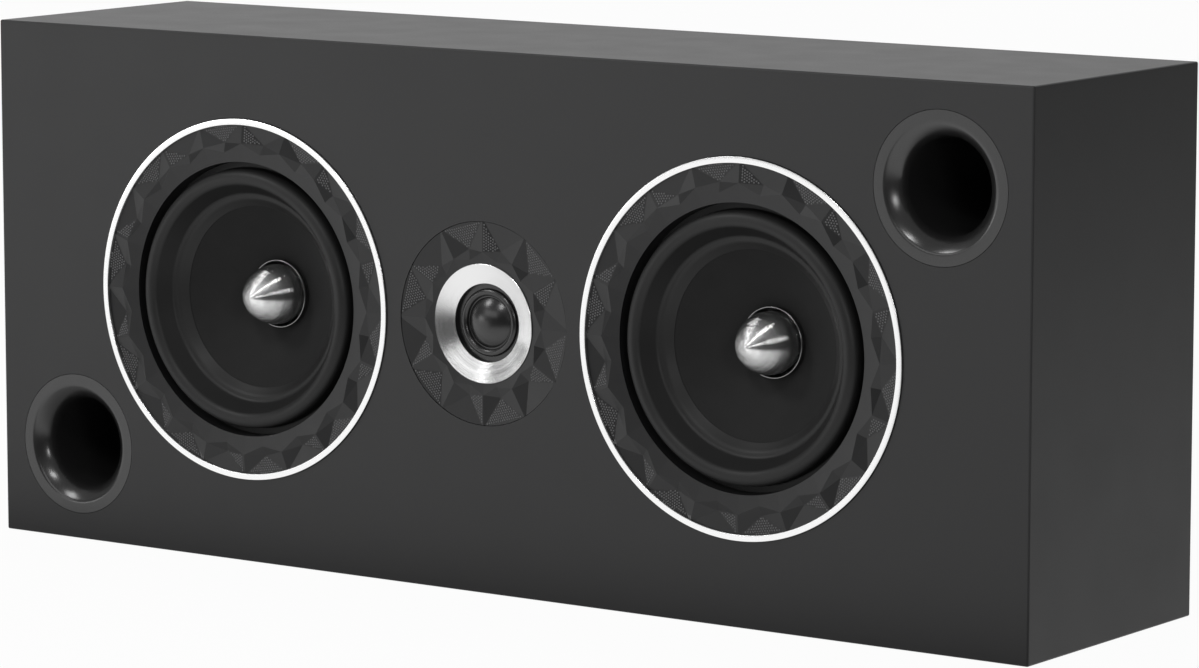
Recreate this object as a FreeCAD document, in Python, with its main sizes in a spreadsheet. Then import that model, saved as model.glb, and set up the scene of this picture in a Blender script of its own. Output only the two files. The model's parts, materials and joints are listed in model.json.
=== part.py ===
# Centre speaker for a home theater: two woofers, a dome tweeter and two bass ports in a low cabinet.
# Millimetres. X runs to the right seen from the front, Y from the front to the back, and Z up.
# The origin is the middle of the footprint, on the surface that the speaker stands on.

import FreeCAD
import Part
import Sketcher
import os
from math import atan2, cos, hypot, radians, sin, sqrt, tan
from types import SimpleNamespace

# Driving sizes. Everything else is worked out from these, from the drivers outwards to the cabinet.
SIZES = {
    # Cabinet
    "baffle_thick": 22.0,
    "wall_thick": 18.0,
    "rear_thick": 15.0,
    "edge_round": 1.0,
    "side_margin": 13.4,
    "top_margin": 13.6,
    "driver_gap": 8.9,
    "port_gap": 11.5,
    "port_angle": 37.1,
    "port_end_gap": 32.6,
    "fit_gap": 0.3,
    "brace_thick": 12.0,
    "brace_frame": 26.0,
    "brace_corner": 20.0,
    "foam_thick": 20.0,
    "foam_gap": 2.0,
    # Woofer cone, surround and front trim
    "cone_radius": 54.0,
    "cone_rim": 3.5,
    "cone_thick": 1.0,
    "cone_depth": 20.6,
    "cone_curve": 120.0,
    "neck_length": 1.6,
    "roll_span": 12.4,
    "roll_radius": 4.4,
    "roll_slope": 61.0,
    "roll_leg": 6.4,
    "surround_thick": 1.0,
    "surround_lap": 2.5,
    "surround_land": 3.7,
    "bezel_width": 19.05,
    "bezel_seat": 5.0,
    "bezel_base": 2.5,
    "trim_width": 3.1,
    "trim_proud": 1.0,
    "trim_round": 0.2,
    "facet_count": 20,
    "facet_hollow_inset": 9.0,
    "facet_crest_inset": 9.5,
    "facet_tip_inset": 14.0,
    "facet_rim_depth": 0.5,
    "facet_hollow_depth": 2.2,
    "facet_crest_depth": -0.5,
    "facet_tip_depth": 0.4,
    "facet_room": 3.0,
    # Woofer chassis and motor
    "flange_thick": 3.0,
    "gasket_thick": 1.0,
    "seat_drop": 3.5,
    "basket_wall": 2.5,
    "basket_rim": 4.3,
    "basket_hole_gap": 2.0,
    "basket_windows": 6,
    "basket_window_angle": 44.0,
    "spider_gap": 8.0,
    "spider_thick": 0.8,
    "spider_wave": 1.5,
    "spider_folds": 5,
    "spider_land": 5.0,
    "spider_radius": 49.0,
    "motor_gap": 12.0,
    "pole_radius": 16.0,
    "former_gap": 0.9,
    "former_thick": 0.7,
    "former_lip": 3.2,
    "winding_thick": 0.6,
    "winding_length": 12.0,
    "coil_gap": 0.7,
    "coil_overhang": 4.0,
    "plug_radius": 15.3,
    "plug_curve": 21.5,
    "plug_nose": 3.0,
    "plug_shoulder": 5.6,
    "plug_stud_radius": 4.0,
    "plug_stud_length": 14.0,
    "top_plate_thick": 6.0,
    "magnet_radius": 52.0,
    "magnet_bore": 24.0,
    "magnet_thick": 18.0,
    "plate_inset": 2.0,
    "yoke_thick": 6.0,
    # Wood screws
    "screw_radius": 1.9,
    "screw_head_radius": 3.7,
    "screw_head_height": 2.2,
    "screw_length": 14.0,
    "screw_gap": 0.1,
    "woofer_screws": 6,
    # Tweeter
    "dome_radius": 12.6,
    "dome_height": 4.6,
    "dome_thick": 0.4,
    "dome_roll": 1.6,
    "dome_valley": 0.7,
    "dome_land": 3.05,
    "waveguide_width": 10.05,
    "waveguide_lip": 0.5,
    "waveguide_recess": 0.2,
    "tweeter_plate_width": 20.7,
    "tweeter_plate_thick": 4.2,
    "tweeter_facet_count": 12,
    "tweeter_hollow_inset": 13.0,
    "tweeter_crest_inset": 15.0,
    "tweeter_tip_inset": 18.5,
    "tweeter_rim_depth": 0.2,
    "tweeter_hollow_depth": 2.2,
    "tweeter_crest_depth": 0.1,
    "tweeter_tip_depth": 0.6,
    "tweeter_flange_thick": 2.4,
    "tweeter_coil_wall": 0.4,
    "tweeter_coil_length": 4.2,
    "tweeter_coil_gap": 0.5,
    "tweeter_top_thick": 4.0,
    "tweeter_magnet_radius": 36.0,
    "tweeter_magnet_bore": 17.0,
    "tweeter_magnet_thick": 12.0,
    "tweeter_yoke_thick": 4.0,
    "tweeter_hole_gap": 3.0,
    "tweeter_screws": 4,
    # Bass ports
    "port_throat": 24.0,
    "port_flare": 7.0,
    "port_edge": 2.0,
    "port_slope": 48.0,
    "port_lip": 5.6,
    "port_wall": 2.5,
    "port_rim": 0.5,
    "port_length": 105.0,
    # Terminals at the back
    "cup_width": 76.0,
    "cup_height": 46.0,
    "cup_depth": 24.0,
    "cup_wall": 3.0,
    "cup_lip": 9.0,
    "cup_lip_thick": 3.0,
    "cup_corner": 6.0,
    "post_spacing": 30.0,
    "post_stud_radius": 4.0,
    "post_bore_radius": 2.05,
    "post_bore_depth": 16.0,
    "post_collar_radius": 7.5,
    "post_collar_thick": 3.0,
    "post_shank_radius": 3.0,
    "post_shank_length": 12.0,
    "post_inset": 3.0,
    "nut_radius": 7.5,
    "nut_length": 13.0,
    "nut_wire_gap": 1.6,
    "nut_thread_gap": 0.15,
    "nut_flutes": 12,
    "nut_flute_radius": 1.1,
    "lock_nut_flat": 10.0,
    "lock_nut_thick": 4.0,
    # Crossover
    "board_width": 120.0,
    "board_depth": 70.0,
    "board_thick": 1.6,
    "board_gap": 6.0,
    "standoff_radius": 3.5,
    "standoff_height": 8.0,
    "standoff_inset": 6.0,
    "standoff_pin_radius": 1.5,
    "standoff_pin_proud": 2.0,
    "woofer_coil_radius": 20.0,
    "woofer_coil_height": 18.0,
    "tweeter_coil_radius": 13.0,
    "tweeter_coil_height": 12.0,
    "woofer_coil_shift": 4.0,
    "bobbin_bore": 5.0,
    "bobbin_cheek": 1.5,
    "bobbin_groove": 2.0,
    "capacitor_radius": 8.0,
    "capacitor_length": 34.0,
    "capacitor_gap": 2.0,
    "resistor_length": 40.0,
    "resistor_side": 9.0,
}

SIDES = {"left": -1, "right": 1}
PLANE_NORMAL = {"XY_Plane": 1, "XZ_Plane": -1, "YZ_Plane": 1}


class Size:
    """A length as an expression on the sheet, with its value now; sums of sizes stay bound to the sheet."""

    def __init__(self, text, value):
        self.text = text
        self.value = value

    def __add__(self, other):
        other = as_size(other)
        return Size(f"({self.text} + {other.text})", self.value + other.value)

    def __sub__(self, other):
        other = as_size(other)
        return Size(f"({self.text} - {other.text})", self.value - other.value)

    def __mul__(self, other):
        other = as_size(other)
        return Size(f"({self.text} * {other.text})", self.value * other.value)

    def __truediv__(self, other):
        other = as_size(other)
        return Size(f"({self.text} / {other.text})", self.value / other.value)

    def __neg__(self):
        return Size(f"(0 - {self.text})", -self.value)

    def __radd__(self, other):
        return as_size(other) + self

    def __rsub__(self, other):
        return as_size(other) - self

    def __rmul__(self, other):
        return as_size(other) * self


def as_size(number):
    """Takes a plain number as a size."""
    return number if isinstance(number, Size) else Size(repr(number), number)


def root(size):
    return Size(f"sqrt({size.text})", sqrt(size.value))


def cosine(angle):
    angle = as_size(angle)
    return Size(f"cos({angle.text})", cos(radians(angle.value)))


def sine(angle):
    angle = as_size(angle)
    return Size(f"sin({angle.text})", sin(radians(angle.value)))


def tangent(angle):
    return Size(f"tan({angle.text})", tan(radians(angle.value)))


class Arc:
    """An arc of a sketch's outline, with its centre to the left of its direction, or to the right."""

    def __init__(self, radius, left):
        self.radius = as_size(radius)
        self.left = left


doc = FreeCAD.newDocument("home_theater_speaker")
sheet = doc.addObject("Spreadsheet::Sheet", "Sizes")
for row, (alias, number) in enumerate(SIZES.items(), start=1):
    sheet.set(f"A{row}", alias)
    sheet.set(f"B{row}", str(number))
    sheet.setAlias(f"B{row}", alias)
doc.recompute()
size = SimpleNamespace(**{alias: Size(f"Sizes.{alias}", number) for alias, number in SIZES.items()})
pieces = []


# Helpers that draw, turn, extrude and place

def keep(piece, label):
    """Names a finished sub-part and lists it for export."""
    piece.Label = label
    pieces.append(piece)
    return piece


def place(piece, x=0, y=0, z=0):
    """Binds where a piece stands to the sheet."""
    for axis, length in (("x", x), ("y", y), ("z", z)):
        piece.setExpression(f"Placement.Base.{axis}", as_size(length).text)
    return piece


def origin_feature(body, role):
    return next(item for item in body.Origin.OriginFeatures if item.Role == role)


def arc_edge(start, end, arc):
    """The arc from start to end, and whether it runs against the arc's own direction."""
    chord = hypot(end[0] - start[0], end[1] - start[1])
    rise = sqrt(max(arc.radius.value**2 - chord**2 / 4, 0.0))
    turn = 1 if arc.left else -1
    centre = (
        (start[0] + end[0]) / 2 - turn * rise * (end[1] - start[1]) / chord,
        (start[1] + end[1]) / 2 + turn * rise * (end[0] - start[0]) / chord,
    )
    first, last = (start, end) if arc.left else (end, start)
    angles = [atan2(point[1] - centre[1], point[0] - centre[0]) for point in (first, last)]
    circle = Part.Circle(FreeCAD.Vector(*centre, 0), FreeCAD.Vector(0, 0, 1), arc.radius.value)
    return Part.ArcOfCircle(circle, *angles), not arc.left


def fix_point(sketch, geometry, position, point):
    """Binds a point of a sketch to the sheet."""
    for kind, length in zip(("DistanceX", "DistanceY"), point):
        rule = Sketcher.Constraint(kind, -1, 1, geometry, position, length.value)
        sketch.setExpression(f"Constraints[{sketch.addConstraint(rule)}]", length.text)


def draw_loop(sketch, corners):
    """Draws a closed outline. A corner is (across, up), or (across, up, arc that leads to it)."""
    points = [(as_size(corner[0]), as_size(corner[1])) for corner in corners]
    ends = []
    for index, corner in enumerate(corners):
        start = tuple(length.value for length in points[index - 1])
        end = tuple(length.value for length in points[index])
        if len(corner) == 3:
            edge, backwards = arc_edge(start, end, corner[2])
        else:
            edge = Part.LineSegment(FreeCAD.Vector(*start, 0), FreeCAD.Vector(*end, 0))
            backwards = False
        geometry = sketch.addGeometry(edge, False)
        ends.append((geometry, 2, 1) if backwards else (geometry, 1, 2))
    for index, (geometry, start, end) in enumerate(ends):
        following = ends[(index + 1) % len(ends)]
        sketch.addConstraint(Sketcher.Constraint("Coincident", geometry, end, following[0], following[1]))
        fix_point(sketch, geometry, end, points[index])
        if len(corners[index]) == 3:
            radius = corners[index][2].radius
            rule = Sketcher.Constraint("Radius", geometry, radius.value)
            sketch.setExpression(f"Constraints[{sketch.addConstraint(rule)}]", radius.text)


def draw_circle(sketch, across, up, radius):
    centre = FreeCAD.Vector(across.value, up.value, 0)
    circle = Part.Circle(centre, FreeCAD.Vector(0, 0, 1), radius.value)
    geometry = sketch.addGeometry(circle, False)
    fix_point(sketch, geometry, 3, (across, up))
    rule = Sketcher.Constraint("Radius", geometry, radius.value)
    sketch.setExpression(f"Constraints[{sketch.addConstraint(rule)}]", radius.text)


def draw(body, name, plane, height=0, loops=(), circles=()):
    """A sketch on a plane of the body, lifted along that plane's axis to the given height."""
    sketch = body.newObject("Sketcher::SketchObject", name)
    sketch.AttachmentSupport = [(origin_feature(body, plane), "")]
    sketch.MapMode = "FlatFace"
    sketch.setExpression("AttachmentOffset.Base.z", (PLANE_NORMAL[plane] * as_size(height)).text)
    for corners in loops:
        draw_loop(sketch, corners)
    for circle in circles:
        draw_circle(sketch, *(as_size(item) for item in circle))
    return sketch


def new_body(name):
    return doc.addObject("PartDesign::Body", name)


def turned(name, corners):
    """A body turned about its own Y axis from an outline of (radius, depth) corners."""
    body = new_body(name)
    sketch = draw(body, f"{name}_outline", "XY_Plane", loops=[corners])
    turn = body.newObject("PartDesign::Revolution", f"{name}_turn")
    turn.Profile = sketch
    turn.ReferenceAxis = (sketch, ["V_Axis"])
    turn.Angle = 360
    return body


def extrude(body, kind, name, near, far, plane="XZ_Plane", loops=(), circles=()):
    """A Pad or a Pocket between two heights along the plane's axis."""
    near = as_size(near)
    far = as_size(far)
    sketch = draw(body, f"{name}_outline", plane, (near + far) / 2, loops, circles)
    feature = body.newObject(f"PartDesign::{kind}", name)
    feature.Profile = sketch
    feature.SideType = "Symmetric"
    feature.setExpression("Length", (far - near).text)
    return feature


def repeat_round(body, feature, name, count):
    """Repeats a feature evenly about the body's Y axis."""
    pattern = body.newObject("PartDesign::PolarPattern", name)
    pattern.Originals = [feature]
    pattern.Axis = (origin_feature(body, "Y_Axis"), [""])
    pattern.Angle = 360
    pattern.setExpression("Occurrences", count.text)
    body.Tip = pattern
    return pattern


def rectangle(left, bottom, right, top):
    return [(left, bottom), (right, bottom), (right, top), (left, top)]


def rounded_rectangle(half_width, half_height, corner, middle=0):
    """A rectangle about the sketch's upright axis, with round corners."""
    low = middle - half_height
    high = middle + half_height
    turn = Arc(corner, left=True)
    return [
        (half_width - corner, low),
        (half_width, low + corner, turn),
        (half_width, high - corner),
        (half_width - corner, high, turn),
        (corner - half_width, high),
        (-half_width, high - corner, turn),
        (-half_width, low + corner),
        (corner - half_width, low, turn),
    ]


def ring_places(x, z, radius, count, first_angle=0.0):
    """Evenly spaced places round a driver."""
    step = 360.0 / SIZES[count]
    angles = [first_angle + step * index for index in range(SIZES[count])]
    return [(x + radius * cosine(angle), z + radius * sine(angle)) for angle in angles]


def screw_shapes(name, places, y, inwards=1, gap=0):
    """Countersunk wood screws with their heads flush at y, driven to the back (1) or the front (-1).

    With a gap they are the room that such screws need, for cutting their seats.
    """
    upright_to_y = FreeCAD.Rotation(FreeCAD.Vector(1, 0, 0), -90 * inwards)
    singles = []
    for index, (x, z) in enumerate(places):
        head = doc.addObject("Part::Cone", f"{name}_head_{index}")
        head.setExpression("Radius1", (size.screw_head_radius + gap).text)
        head.setExpression("Radius2", (size.screw_radius + gap).text)
        head.setExpression("Height", size.screw_head_height.text)
        shank = doc.addObject("Part::Cylinder", f"{name}_shank_{index}")
        shank.setExpression("Radius", (size.screw_radius + gap).text)
        shank.setExpression("Height", (size.screw_length + gap).text)
        for item in (head, shank):
            item.Placement = FreeCAD.Placement(FreeCAD.Vector(), upright_to_y)
            place(item, x, y, z)
        single = doc.addObject("Part::Fuse", f"{name}_single_{index}")
        single.Base = head
        single.Tool = shank
        singles.append(single)
    group = doc.addObject("Part::Compound", name)
    group.Links = singles
    return group


def screws(label, places, y, inwards=1):
    keep(screw_shapes(f"{label}_set", places, y, inwards), label)


def countersunk(label, blank, places, y, inwards=1):
    """A placed piece with the seats of its screws cut in it."""
    piece = doc.addObject("Part::Cut", label)
    piece.Base = blank
    piece.Tool = screw_shapes(f"{label}_seats", places, y, inwards, size.screw_gap)
    return keep(piece, label)


# Places worked out from the drivers outwards

former_in = size.pole_radius + size.former_gap
former_out = former_in + size.former_thick
winding_out = former_out + size.winding_thick
coil_bore = winding_out + size.coil_gap

roll_out = size.cone_radius + size.roll_span
roll_middle = roll_out - size.roll_radius
surround_out = roll_out + size.surround_land
bezel_in = surround_out + size.fit_gap
bezel_out = bezel_in + size.bezel_width
trim_radius = bezel_out + size.trim_width
flange_radius = trim_radius - size.fit_gap
basket_radius = surround_out + size.fit_gap + size.basket_rim
woofer_hole = basket_radius + size.basket_hole_gap
woofer_screw_circle = (woofer_hole + flange_radius) / 2

bezel_back = size.bezel_seat + size.bezel_base
flange_back = bezel_back + size.flange_thick
woofer_rebate = flange_back + size.gasket_thick
seat_depth = bezel_back + size.seat_drop
surround_face = seat_depth - size.surround_thick
roll_foot = surround_face - size.roll_leg
neck_depth = seat_depth + size.cone_depth
spider_seat = neck_depth + size.neck_length + size.spider_gap
motor_front = spider_seat + size.motor_gap
magnet_front = motor_front + size.top_plate_thick
magnet_back = magnet_front + size.magnet_thick
coil_back = magnet_front + size.coil_overhang

dome_coil_in = size.dome_radius + (size.dome_valley - size.tweeter_coil_wall) / 2
dome_coil_out = dome_coil_in + size.tweeter_coil_wall
dome_roll_in = size.dome_radius + size.dome_valley
dome_roll_middle = dome_roll_in + size.dome_roll
dome_out = dome_roll_middle + size.dome_roll + size.dome_land
waveguide_in = dome_out + size.fit_gap / 2
waveguide_out = waveguide_in + size.waveguide_width
tweeter_plate_in = waveguide_out + size.fit_gap / 2
tweeter_plate_radius = tweeter_plate_in + size.tweeter_plate_width
tweeter_rebate = size.tweeter_plate_thick + size.tweeter_flange_thick
dome_base = tweeter_rebate - size.dome_thick
tweeter_hole = size.tweeter_magnet_radius + size.tweeter_hole_gap
tweeter_screw_circle = (tweeter_hole + tweeter_plate_radius) / 2

port_mouth = size.port_throat + size.port_flare
port_flange = port_mouth + size.port_lip
port_flange_thick = size.port_wall + size.port_rim
port_tube = size.port_throat + size.port_wall
port_cone_radius = port_mouth - size.port_edge * sine(size.port_slope)
port_cone_front = size.port_edge * (1 - cosine(size.port_slope))
port_cone_back = port_cone_front + (port_cone_radius - size.port_throat) * tangent(size.port_slope)
port_back_radius = size.port_throat + size.port_wall * sine(size.port_slope)
port_back_depth = port_cone_back + size.port_wall * cosine(size.port_slope)
port_tube_front = port_back_depth - (port_tube - port_back_radius) * tangent(size.port_slope)
port_body = port_back_radius + (port_back_depth - port_flange_thick) / tangent(size.port_slope)

woofer_x = tweeter_plate_radius + size.driver_gap + trim_radius
port_reach = trim_radius + size.port_gap + port_flange
port_x = woofer_x + port_reach * cosine(size.port_angle)
port_rise = port_reach * sine(size.port_angle)
half_width = port_x + port_flange + size.side_margin
middle_z = port_rise + port_flange + size.top_margin
height = middle_z * 2
depth = size.port_length + size.port_end_gap + size.rear_thick
inner_back = depth - size.rear_thick
front_y = (size.trim_proud - depth) / 2
back_y = front_y + depth
brace_x = (tweeter_hole + woofer_x - woofer_hole) / 2
woofer_screw_places = {
    name: ring_places(side * woofer_x, middle_z, woofer_screw_circle, "woofer_screws")
    for name, side in SIDES.items()
}
tweeter_screw_places = ring_places(as_size(0), middle_z, tweeter_screw_circle, "tweeter_screws", 45.0)
port_places = {name: (side * port_x, middle_z + side * port_rise) for name, side in SIDES.items()}
cup_half_width = size.cup_width / 2 + size.cup_lip + size.cup_wall
cup_half_height = size.cup_height / 2 + size.cup_lip + size.cup_wall
cup_screw_places = [
    (x_side * (cup_half_width - size.cup_lip / 2), middle_z + z_side * (cup_half_height - size.cup_lip / 2))
    for x_side in (-1, 1)
    for z_side in (-1, 1)
]


# Cabinet

def round_outer_edges(body, feature, name):
    """Rounds the edges where two outer faces of the cabinet meet."""
    doc.recompute()
    near = 0.001
    limits = (
        (-half_width.value, half_width.value),
        (0.0, depth.value),
        (0.0, height.value),
    )
    chosen = []
    for index, edge in enumerate(feature.Shape.Edges, start=1):
        box = edge.BoundBox
        spans = ((box.XMin, box.XMax), (box.YMin, box.YMax), (box.ZMin, box.ZMax))
        outer = sum(
            any(abs(low - limit) < near and abs(high - limit) < near for limit in pair)
            for (low, high), pair in zip(spans, limits)
        )
        if outer >= 2:
            chosen.append(f"Edge{index}")
    rounding = body.newObject("PartDesign::Fillet", name)
    rounding.Base = (feature, chosen)
    rounding.setExpression("Radius", size.edge_round.text)


def panel(label, near, far, left, bottom, right, top):
    """A flat panel of the cabinet, in depths from the front face, with its outer edges rounded."""
    body = new_body(label)
    board = extrude(body, "Pad", f"{label}_board", near, far, loops=[rectangle(left, bottom, right, top)])
    round_outer_edges(body, board, f"{label}_edges")
    place(body, y=front_y)
    return keep(body, label)


def cabinet():
    inner_width = half_width - size.wall_thick
    inner_top = height - size.wall_thick
    behind = (size.baffle_thick, depth)
    panel("top_panel", *behind, -half_width, inner_top, half_width, height)
    panel("bottom_panel", *behind, -half_width, 0, half_width, size.wall_thick)
    panel("left_side_panel", *behind, -half_width, size.wall_thick, -inner_width, inner_top)
    panel("right_side_panel", *behind, inner_width, size.wall_thick, half_width, inner_top)
    front_baffle()
    rear_panel(inner_width, inner_top)
    for name, side in SIDES.items():
        brace(name, side, inner_top)
        damping_foam(name, side, inner_width, inner_top)


def front_baffle():
    baffle = panel("front_baffle", 0, size.baffle_thick, -half_width, 0, half_width, height)
    woofers = [(side * woofer_x, middle_z) for side in SIDES.values()]
    ports = list(port_places.values())
    middle = (as_size(0), middle_z)
    rebates = (
        ("woofer_rebates", woofers, trim_radius + size.fit_gap, woofer_rebate),
        ("tweeter_rebate", [middle], tweeter_plate_radius + size.fit_gap, tweeter_rebate),
        ("port_rebates", ports, port_flange + size.fit_gap, port_flange_thick),
    )
    for name, places, radius, floor in rebates:
        extrude(baffle, "Pocket", name, 0, floor, circles=[(x, z, radius) for x, z in places])
    holes = [(x, z, woofer_hole) for x, z in woofers]
    holes += [(x, z, port_body + size.fit_gap) for x, z in ports]
    holes.append((*middle, tweeter_hole))
    extrude(baffle, "Pocket", "through_holes", 0, size.baffle_thick, circles=holes)
    pilot = size.screw_radius + size.screw_gap
    woofer_pilots = [(x, z, pilot) for places in woofer_screw_places.values() for x, z in places]
    woofer_end = bezel_back + size.screw_length + size.screw_gap
    extrude(baffle, "Pocket", "woofer_pilots", bezel_back, woofer_end, circles=woofer_pilots)
    tweeter_pilots = [(x, z, pilot) for x, z in tweeter_screw_places]
    tweeter_end = size.tweeter_plate_thick + size.screw_length + size.screw_gap
    tweeter_seat = size.tweeter_plate_thick
    extrude(baffle, "Pocket", "tweeter_pilots", tweeter_seat, tweeter_end, circles=tweeter_pilots)


def rear_panel(inner_width, inner_top):
    body = new_body("rear_panel")
    outline = rectangle(-inner_width, size.wall_thick, inner_width, inner_top)
    extrude(body, "Pad", "rear_board", inner_back, depth, loops=[outline])
    gap = size.fit_gap
    lip = rounded_rectangle(cup_half_width + gap, cup_half_height + gap, size.cup_corner, middle_z)
    extrude(body, "Pocket", "cup_rebate", depth - size.cup_lip_thick, depth, loops=[lip])
    cut_width = size.cup_width / 2 + size.cup_wall + gap
    cut_height = size.cup_height / 2 + size.cup_wall + gap
    hole = rectangle(-cut_width, middle_z - cut_height, cut_width, middle_z + cut_height)
    extrude(body, "Pocket", "cup_hole", inner_back, depth, loops=[hole])
    pilot = size.screw_radius + size.screw_gap
    pilots = [(x, z, pilot) for x, z in cup_screw_places]
    extrude(body, "Pocket", "cup_pilots", depth - size.screw_length - size.screw_gap, depth, circles=pilots)
    place(body, y=front_y)
    keep(body, "rear_panel")


def brace(name, side, inner_top):
    """A window brace that ties the baffle to the rear panel beside the tweeter."""
    body = new_body(f"{name}_brace")
    near = side * brace_x - size.brace_thick / 2
    far = side * brace_x + size.brace_thick / 2
    outline = rectangle(size.baffle_thick, size.wall_thick, inner_back, inner_top)
    window_half = (inner_back - size.baffle_thick) / 2 - size.brace_frame
    window_middle = (inner_back + size.baffle_thick) / 2
    low = size.wall_thick + size.brace_frame
    high = inner_top - size.brace_frame
    corner = size.brace_corner
    turn = Arc(corner, left=True)
    left = window_middle - window_half
    right = window_middle + window_half
    window = [
        (right - corner, low),
        (right, low + corner, turn),
        (right, high - corner),
        (right - corner, high, turn),
        (left + corner, high),
        (left, high - corner, turn),
        (left, low + corner),
        (left + corner, low, turn),
    ]
    extrude(body, "Pad", f"{name}_brace_board", near, far, "YZ_Plane", loops=[outline, window])
    place(body, y=front_y)
    keep(body, f"{name}_brace")


def damping_foam(name, side, inner_width, inner_top):
    """A sheet of foam on the rear panel behind a woofer."""
    body = new_body(f"{name}_damping_foam")
    edges = sorted(
        (side * (brace_x + size.brace_thick / 2 + size.foam_gap), side * (inner_width - size.foam_gap)),
        key=lambda edge: edge.value,
    )
    low = size.wall_thick + size.foam_gap
    outline = rectangle(edges[0], low, edges[1], inner_top - size.foam_gap)
    extrude(body, "Pad", f"{name}_foam_sheet", inner_back - size.foam_thick, inner_back, loops=[outline])
    place(body, y=front_y)
    keep(body, f"{name}_damping_foam")


# Faceted trims

def rim_corner(radius, count):
    """The radius of the corners of a polygon whose flats touch a round rim."""
    return radius / cosine(180.0 / count)


def facet_cutter(name, count, rings, lift):
    """The space in front of a faceted ring: flat facets between its rim, hollows, crests and tips.

    rings holds (radius, depth) of the outer rim, the hollows, the crests and the tips, and then the radius
    of the inner rim, which lies in line with the crests and the tips.
    """
    rim, hollow, crest, tip = [(radius.value, depth.value) for radius, depth in rings[:4]]
    inner_radius = rings[4].value
    pitch = 360.0 / count

    def point(ring, step):
        angle = radians(pitch * step)
        return FreeCAD.Vector(ring[0] * cos(angle), ring[1], ring[0] * sin(angle))

    def at_front(ring):
        return (ring[0], -lift.value)

    fall = (tip[1] - crest[1]) / (crest[0] - tip[0])
    inner = (inner_radius, tip[1] + fall * (tip[0] - inner_radius))
    faces = []
    for cell in range(count):
        here, half, there = cell, cell + 0.5, cell + 1
        outlines = [
            (point(rim, here), point(rim, there), point(hollow, half)),
            (point(rim, here), point(hollow, half), point(crest, here)),
            (point(rim, there), point(crest, there), point(hollow, half)),
            (point(crest, here), point(hollow, half), point(tip, half)),
            (point(crest, there), point(tip, half), point(hollow, half)),
            (point(crest, here), point(tip, half), point(inner, half), point(inner, here)),
            (point(crest, there), point(inner, there), point(inner, half), point(tip, half)),
            (point(rim, here), point(at_front(rim), here), point(at_front(rim), there), point(rim, there)),
        ]
        for start, end in ((here, half), (half, there)):
            near_edge = (point(inner, start), point(inner, end))
            front_edge = (point(at_front(inner), end), point(at_front(inner), start))
            outlines.append(near_edge + front_edge)
        outlines.append(
            (
                point(at_front(rim), here),
                point(at_front(inner), here),
                point(at_front(inner), half),
                point(at_front(inner), there),
                point(at_front(rim), there),
            )
        )
        faces += [Part.Face(Part.makePolygon(list(outline) + [outline[0]])) for outline in outlines]
    shell = Part.makeShell(faces)
    shell.sewShape()
    solid = Part.makeSolid(shell)
    cutter = doc.addObject("Part::Feature", name)
    cutter.Shape = solid if solid.Volume > 0 else solid.reversed()
    return cutter


def faceted(label, blank, cutter, x):
    ring = doc.addObject("Part::Cut", label)
    ring.Base = blank
    ring.Tool = cutter
    place(ring, x, front_y, middle_z)
    return keep(ring, label)


# Woofers

def place_woofer_piece(body, name, side, piece):
    place(body, side * woofer_x, front_y, middle_z)
    return keep(body, f"{name}_{piece}")


def woofer_trim(name, side):
    """The bright ring round the driver and the faceted ring inside it, which hides the screws."""
    edge = size.trim_round
    front = -size.trim_proud
    ring = turned(
        f"{name}_trim",
        [
            (bezel_out, size.bezel_seat),
            (bezel_out, front + edge),
            (bezel_out + edge, front, Arc(edge, left=False)),
            (trim_radius - edge, front),
            (trim_radius, front + edge, Arc(edge, left=False)),
            (trim_radius, size.bezel_seat),
        ],
    )
    place_woofer_piece(ring, name, side, "trim_ring")
    facet_out = bezel_out - size.fit_gap / 2
    blank = turned(
        f"{name}_bezel_blank",
        [
            (bezel_in, bezel_back),
            (bezel_in, front),
            (facet_out, front),
            (facet_out, size.bezel_seat),
            (flange_radius, size.bezel_seat),
            (flange_radius, bezel_back),
        ],
    )
    count = SIZES["facet_count"]
    rings = [
        (rim_corner(bezel_out, count), size.facet_rim_depth),
        (bezel_out - size.facet_hollow_inset, size.facet_hollow_depth),
        (bezel_out - size.facet_crest_inset, size.facet_crest_depth),
        (bezel_out - size.facet_tip_inset, size.facet_tip_depth),
        bezel_in - size.fit_gap,
    ]
    cutter = facet_cutter(f"{name}_facets", count, rings, size.facet_room)
    faceted(f"{name}_facet_ring", blank, cutter, side * woofer_x)


def woofer_surround(name, side):
    """The rubber roll between the cone and the chassis: a round crest, a straight slope down to the cone
    and an upright leg outside."""
    inner = size.cone_radius - size.surround_lap
    thick = size.surround_thick

    def slope(radius, foot):
        """Where the slope leaves a crest of that radius, and where it meets that depth."""
        top_radius = roll_middle - radius * sine(size.roll_slope)
        top = roll_foot - radius * cosine(size.roll_slope)
        return (top_radius, top), (top_radius - (foot - top) / tangent(size.roll_slope), foot)

    small = size.roll_radius - thick
    top, foot = slope(size.roll_radius, surround_face)
    under_top, under_foot = slope(small, seat_depth)
    body = turned(
        f"{name}_surround",
        [
            (inner, surround_face),
            foot,
            top,
            (roll_middle, roll_foot - size.roll_radius, Arc(size.roll_radius, left=True)),
            (roll_out, roll_foot, Arc(size.roll_radius, left=True)),
            (roll_out, surround_face),
            (surround_out, surround_face),
            (surround_out, seat_depth),
            (roll_out - thick, seat_depth),
            (roll_out - thick, roll_foot),
            (roll_middle, roll_foot - small, Arc(small, left=False)),
            (under_top[0], under_top[1], Arc(small, left=False)),
            under_foot,
            (inner, seat_depth),
        ],
    )
    place_woofer_piece(body, name, side, "surround")


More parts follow.
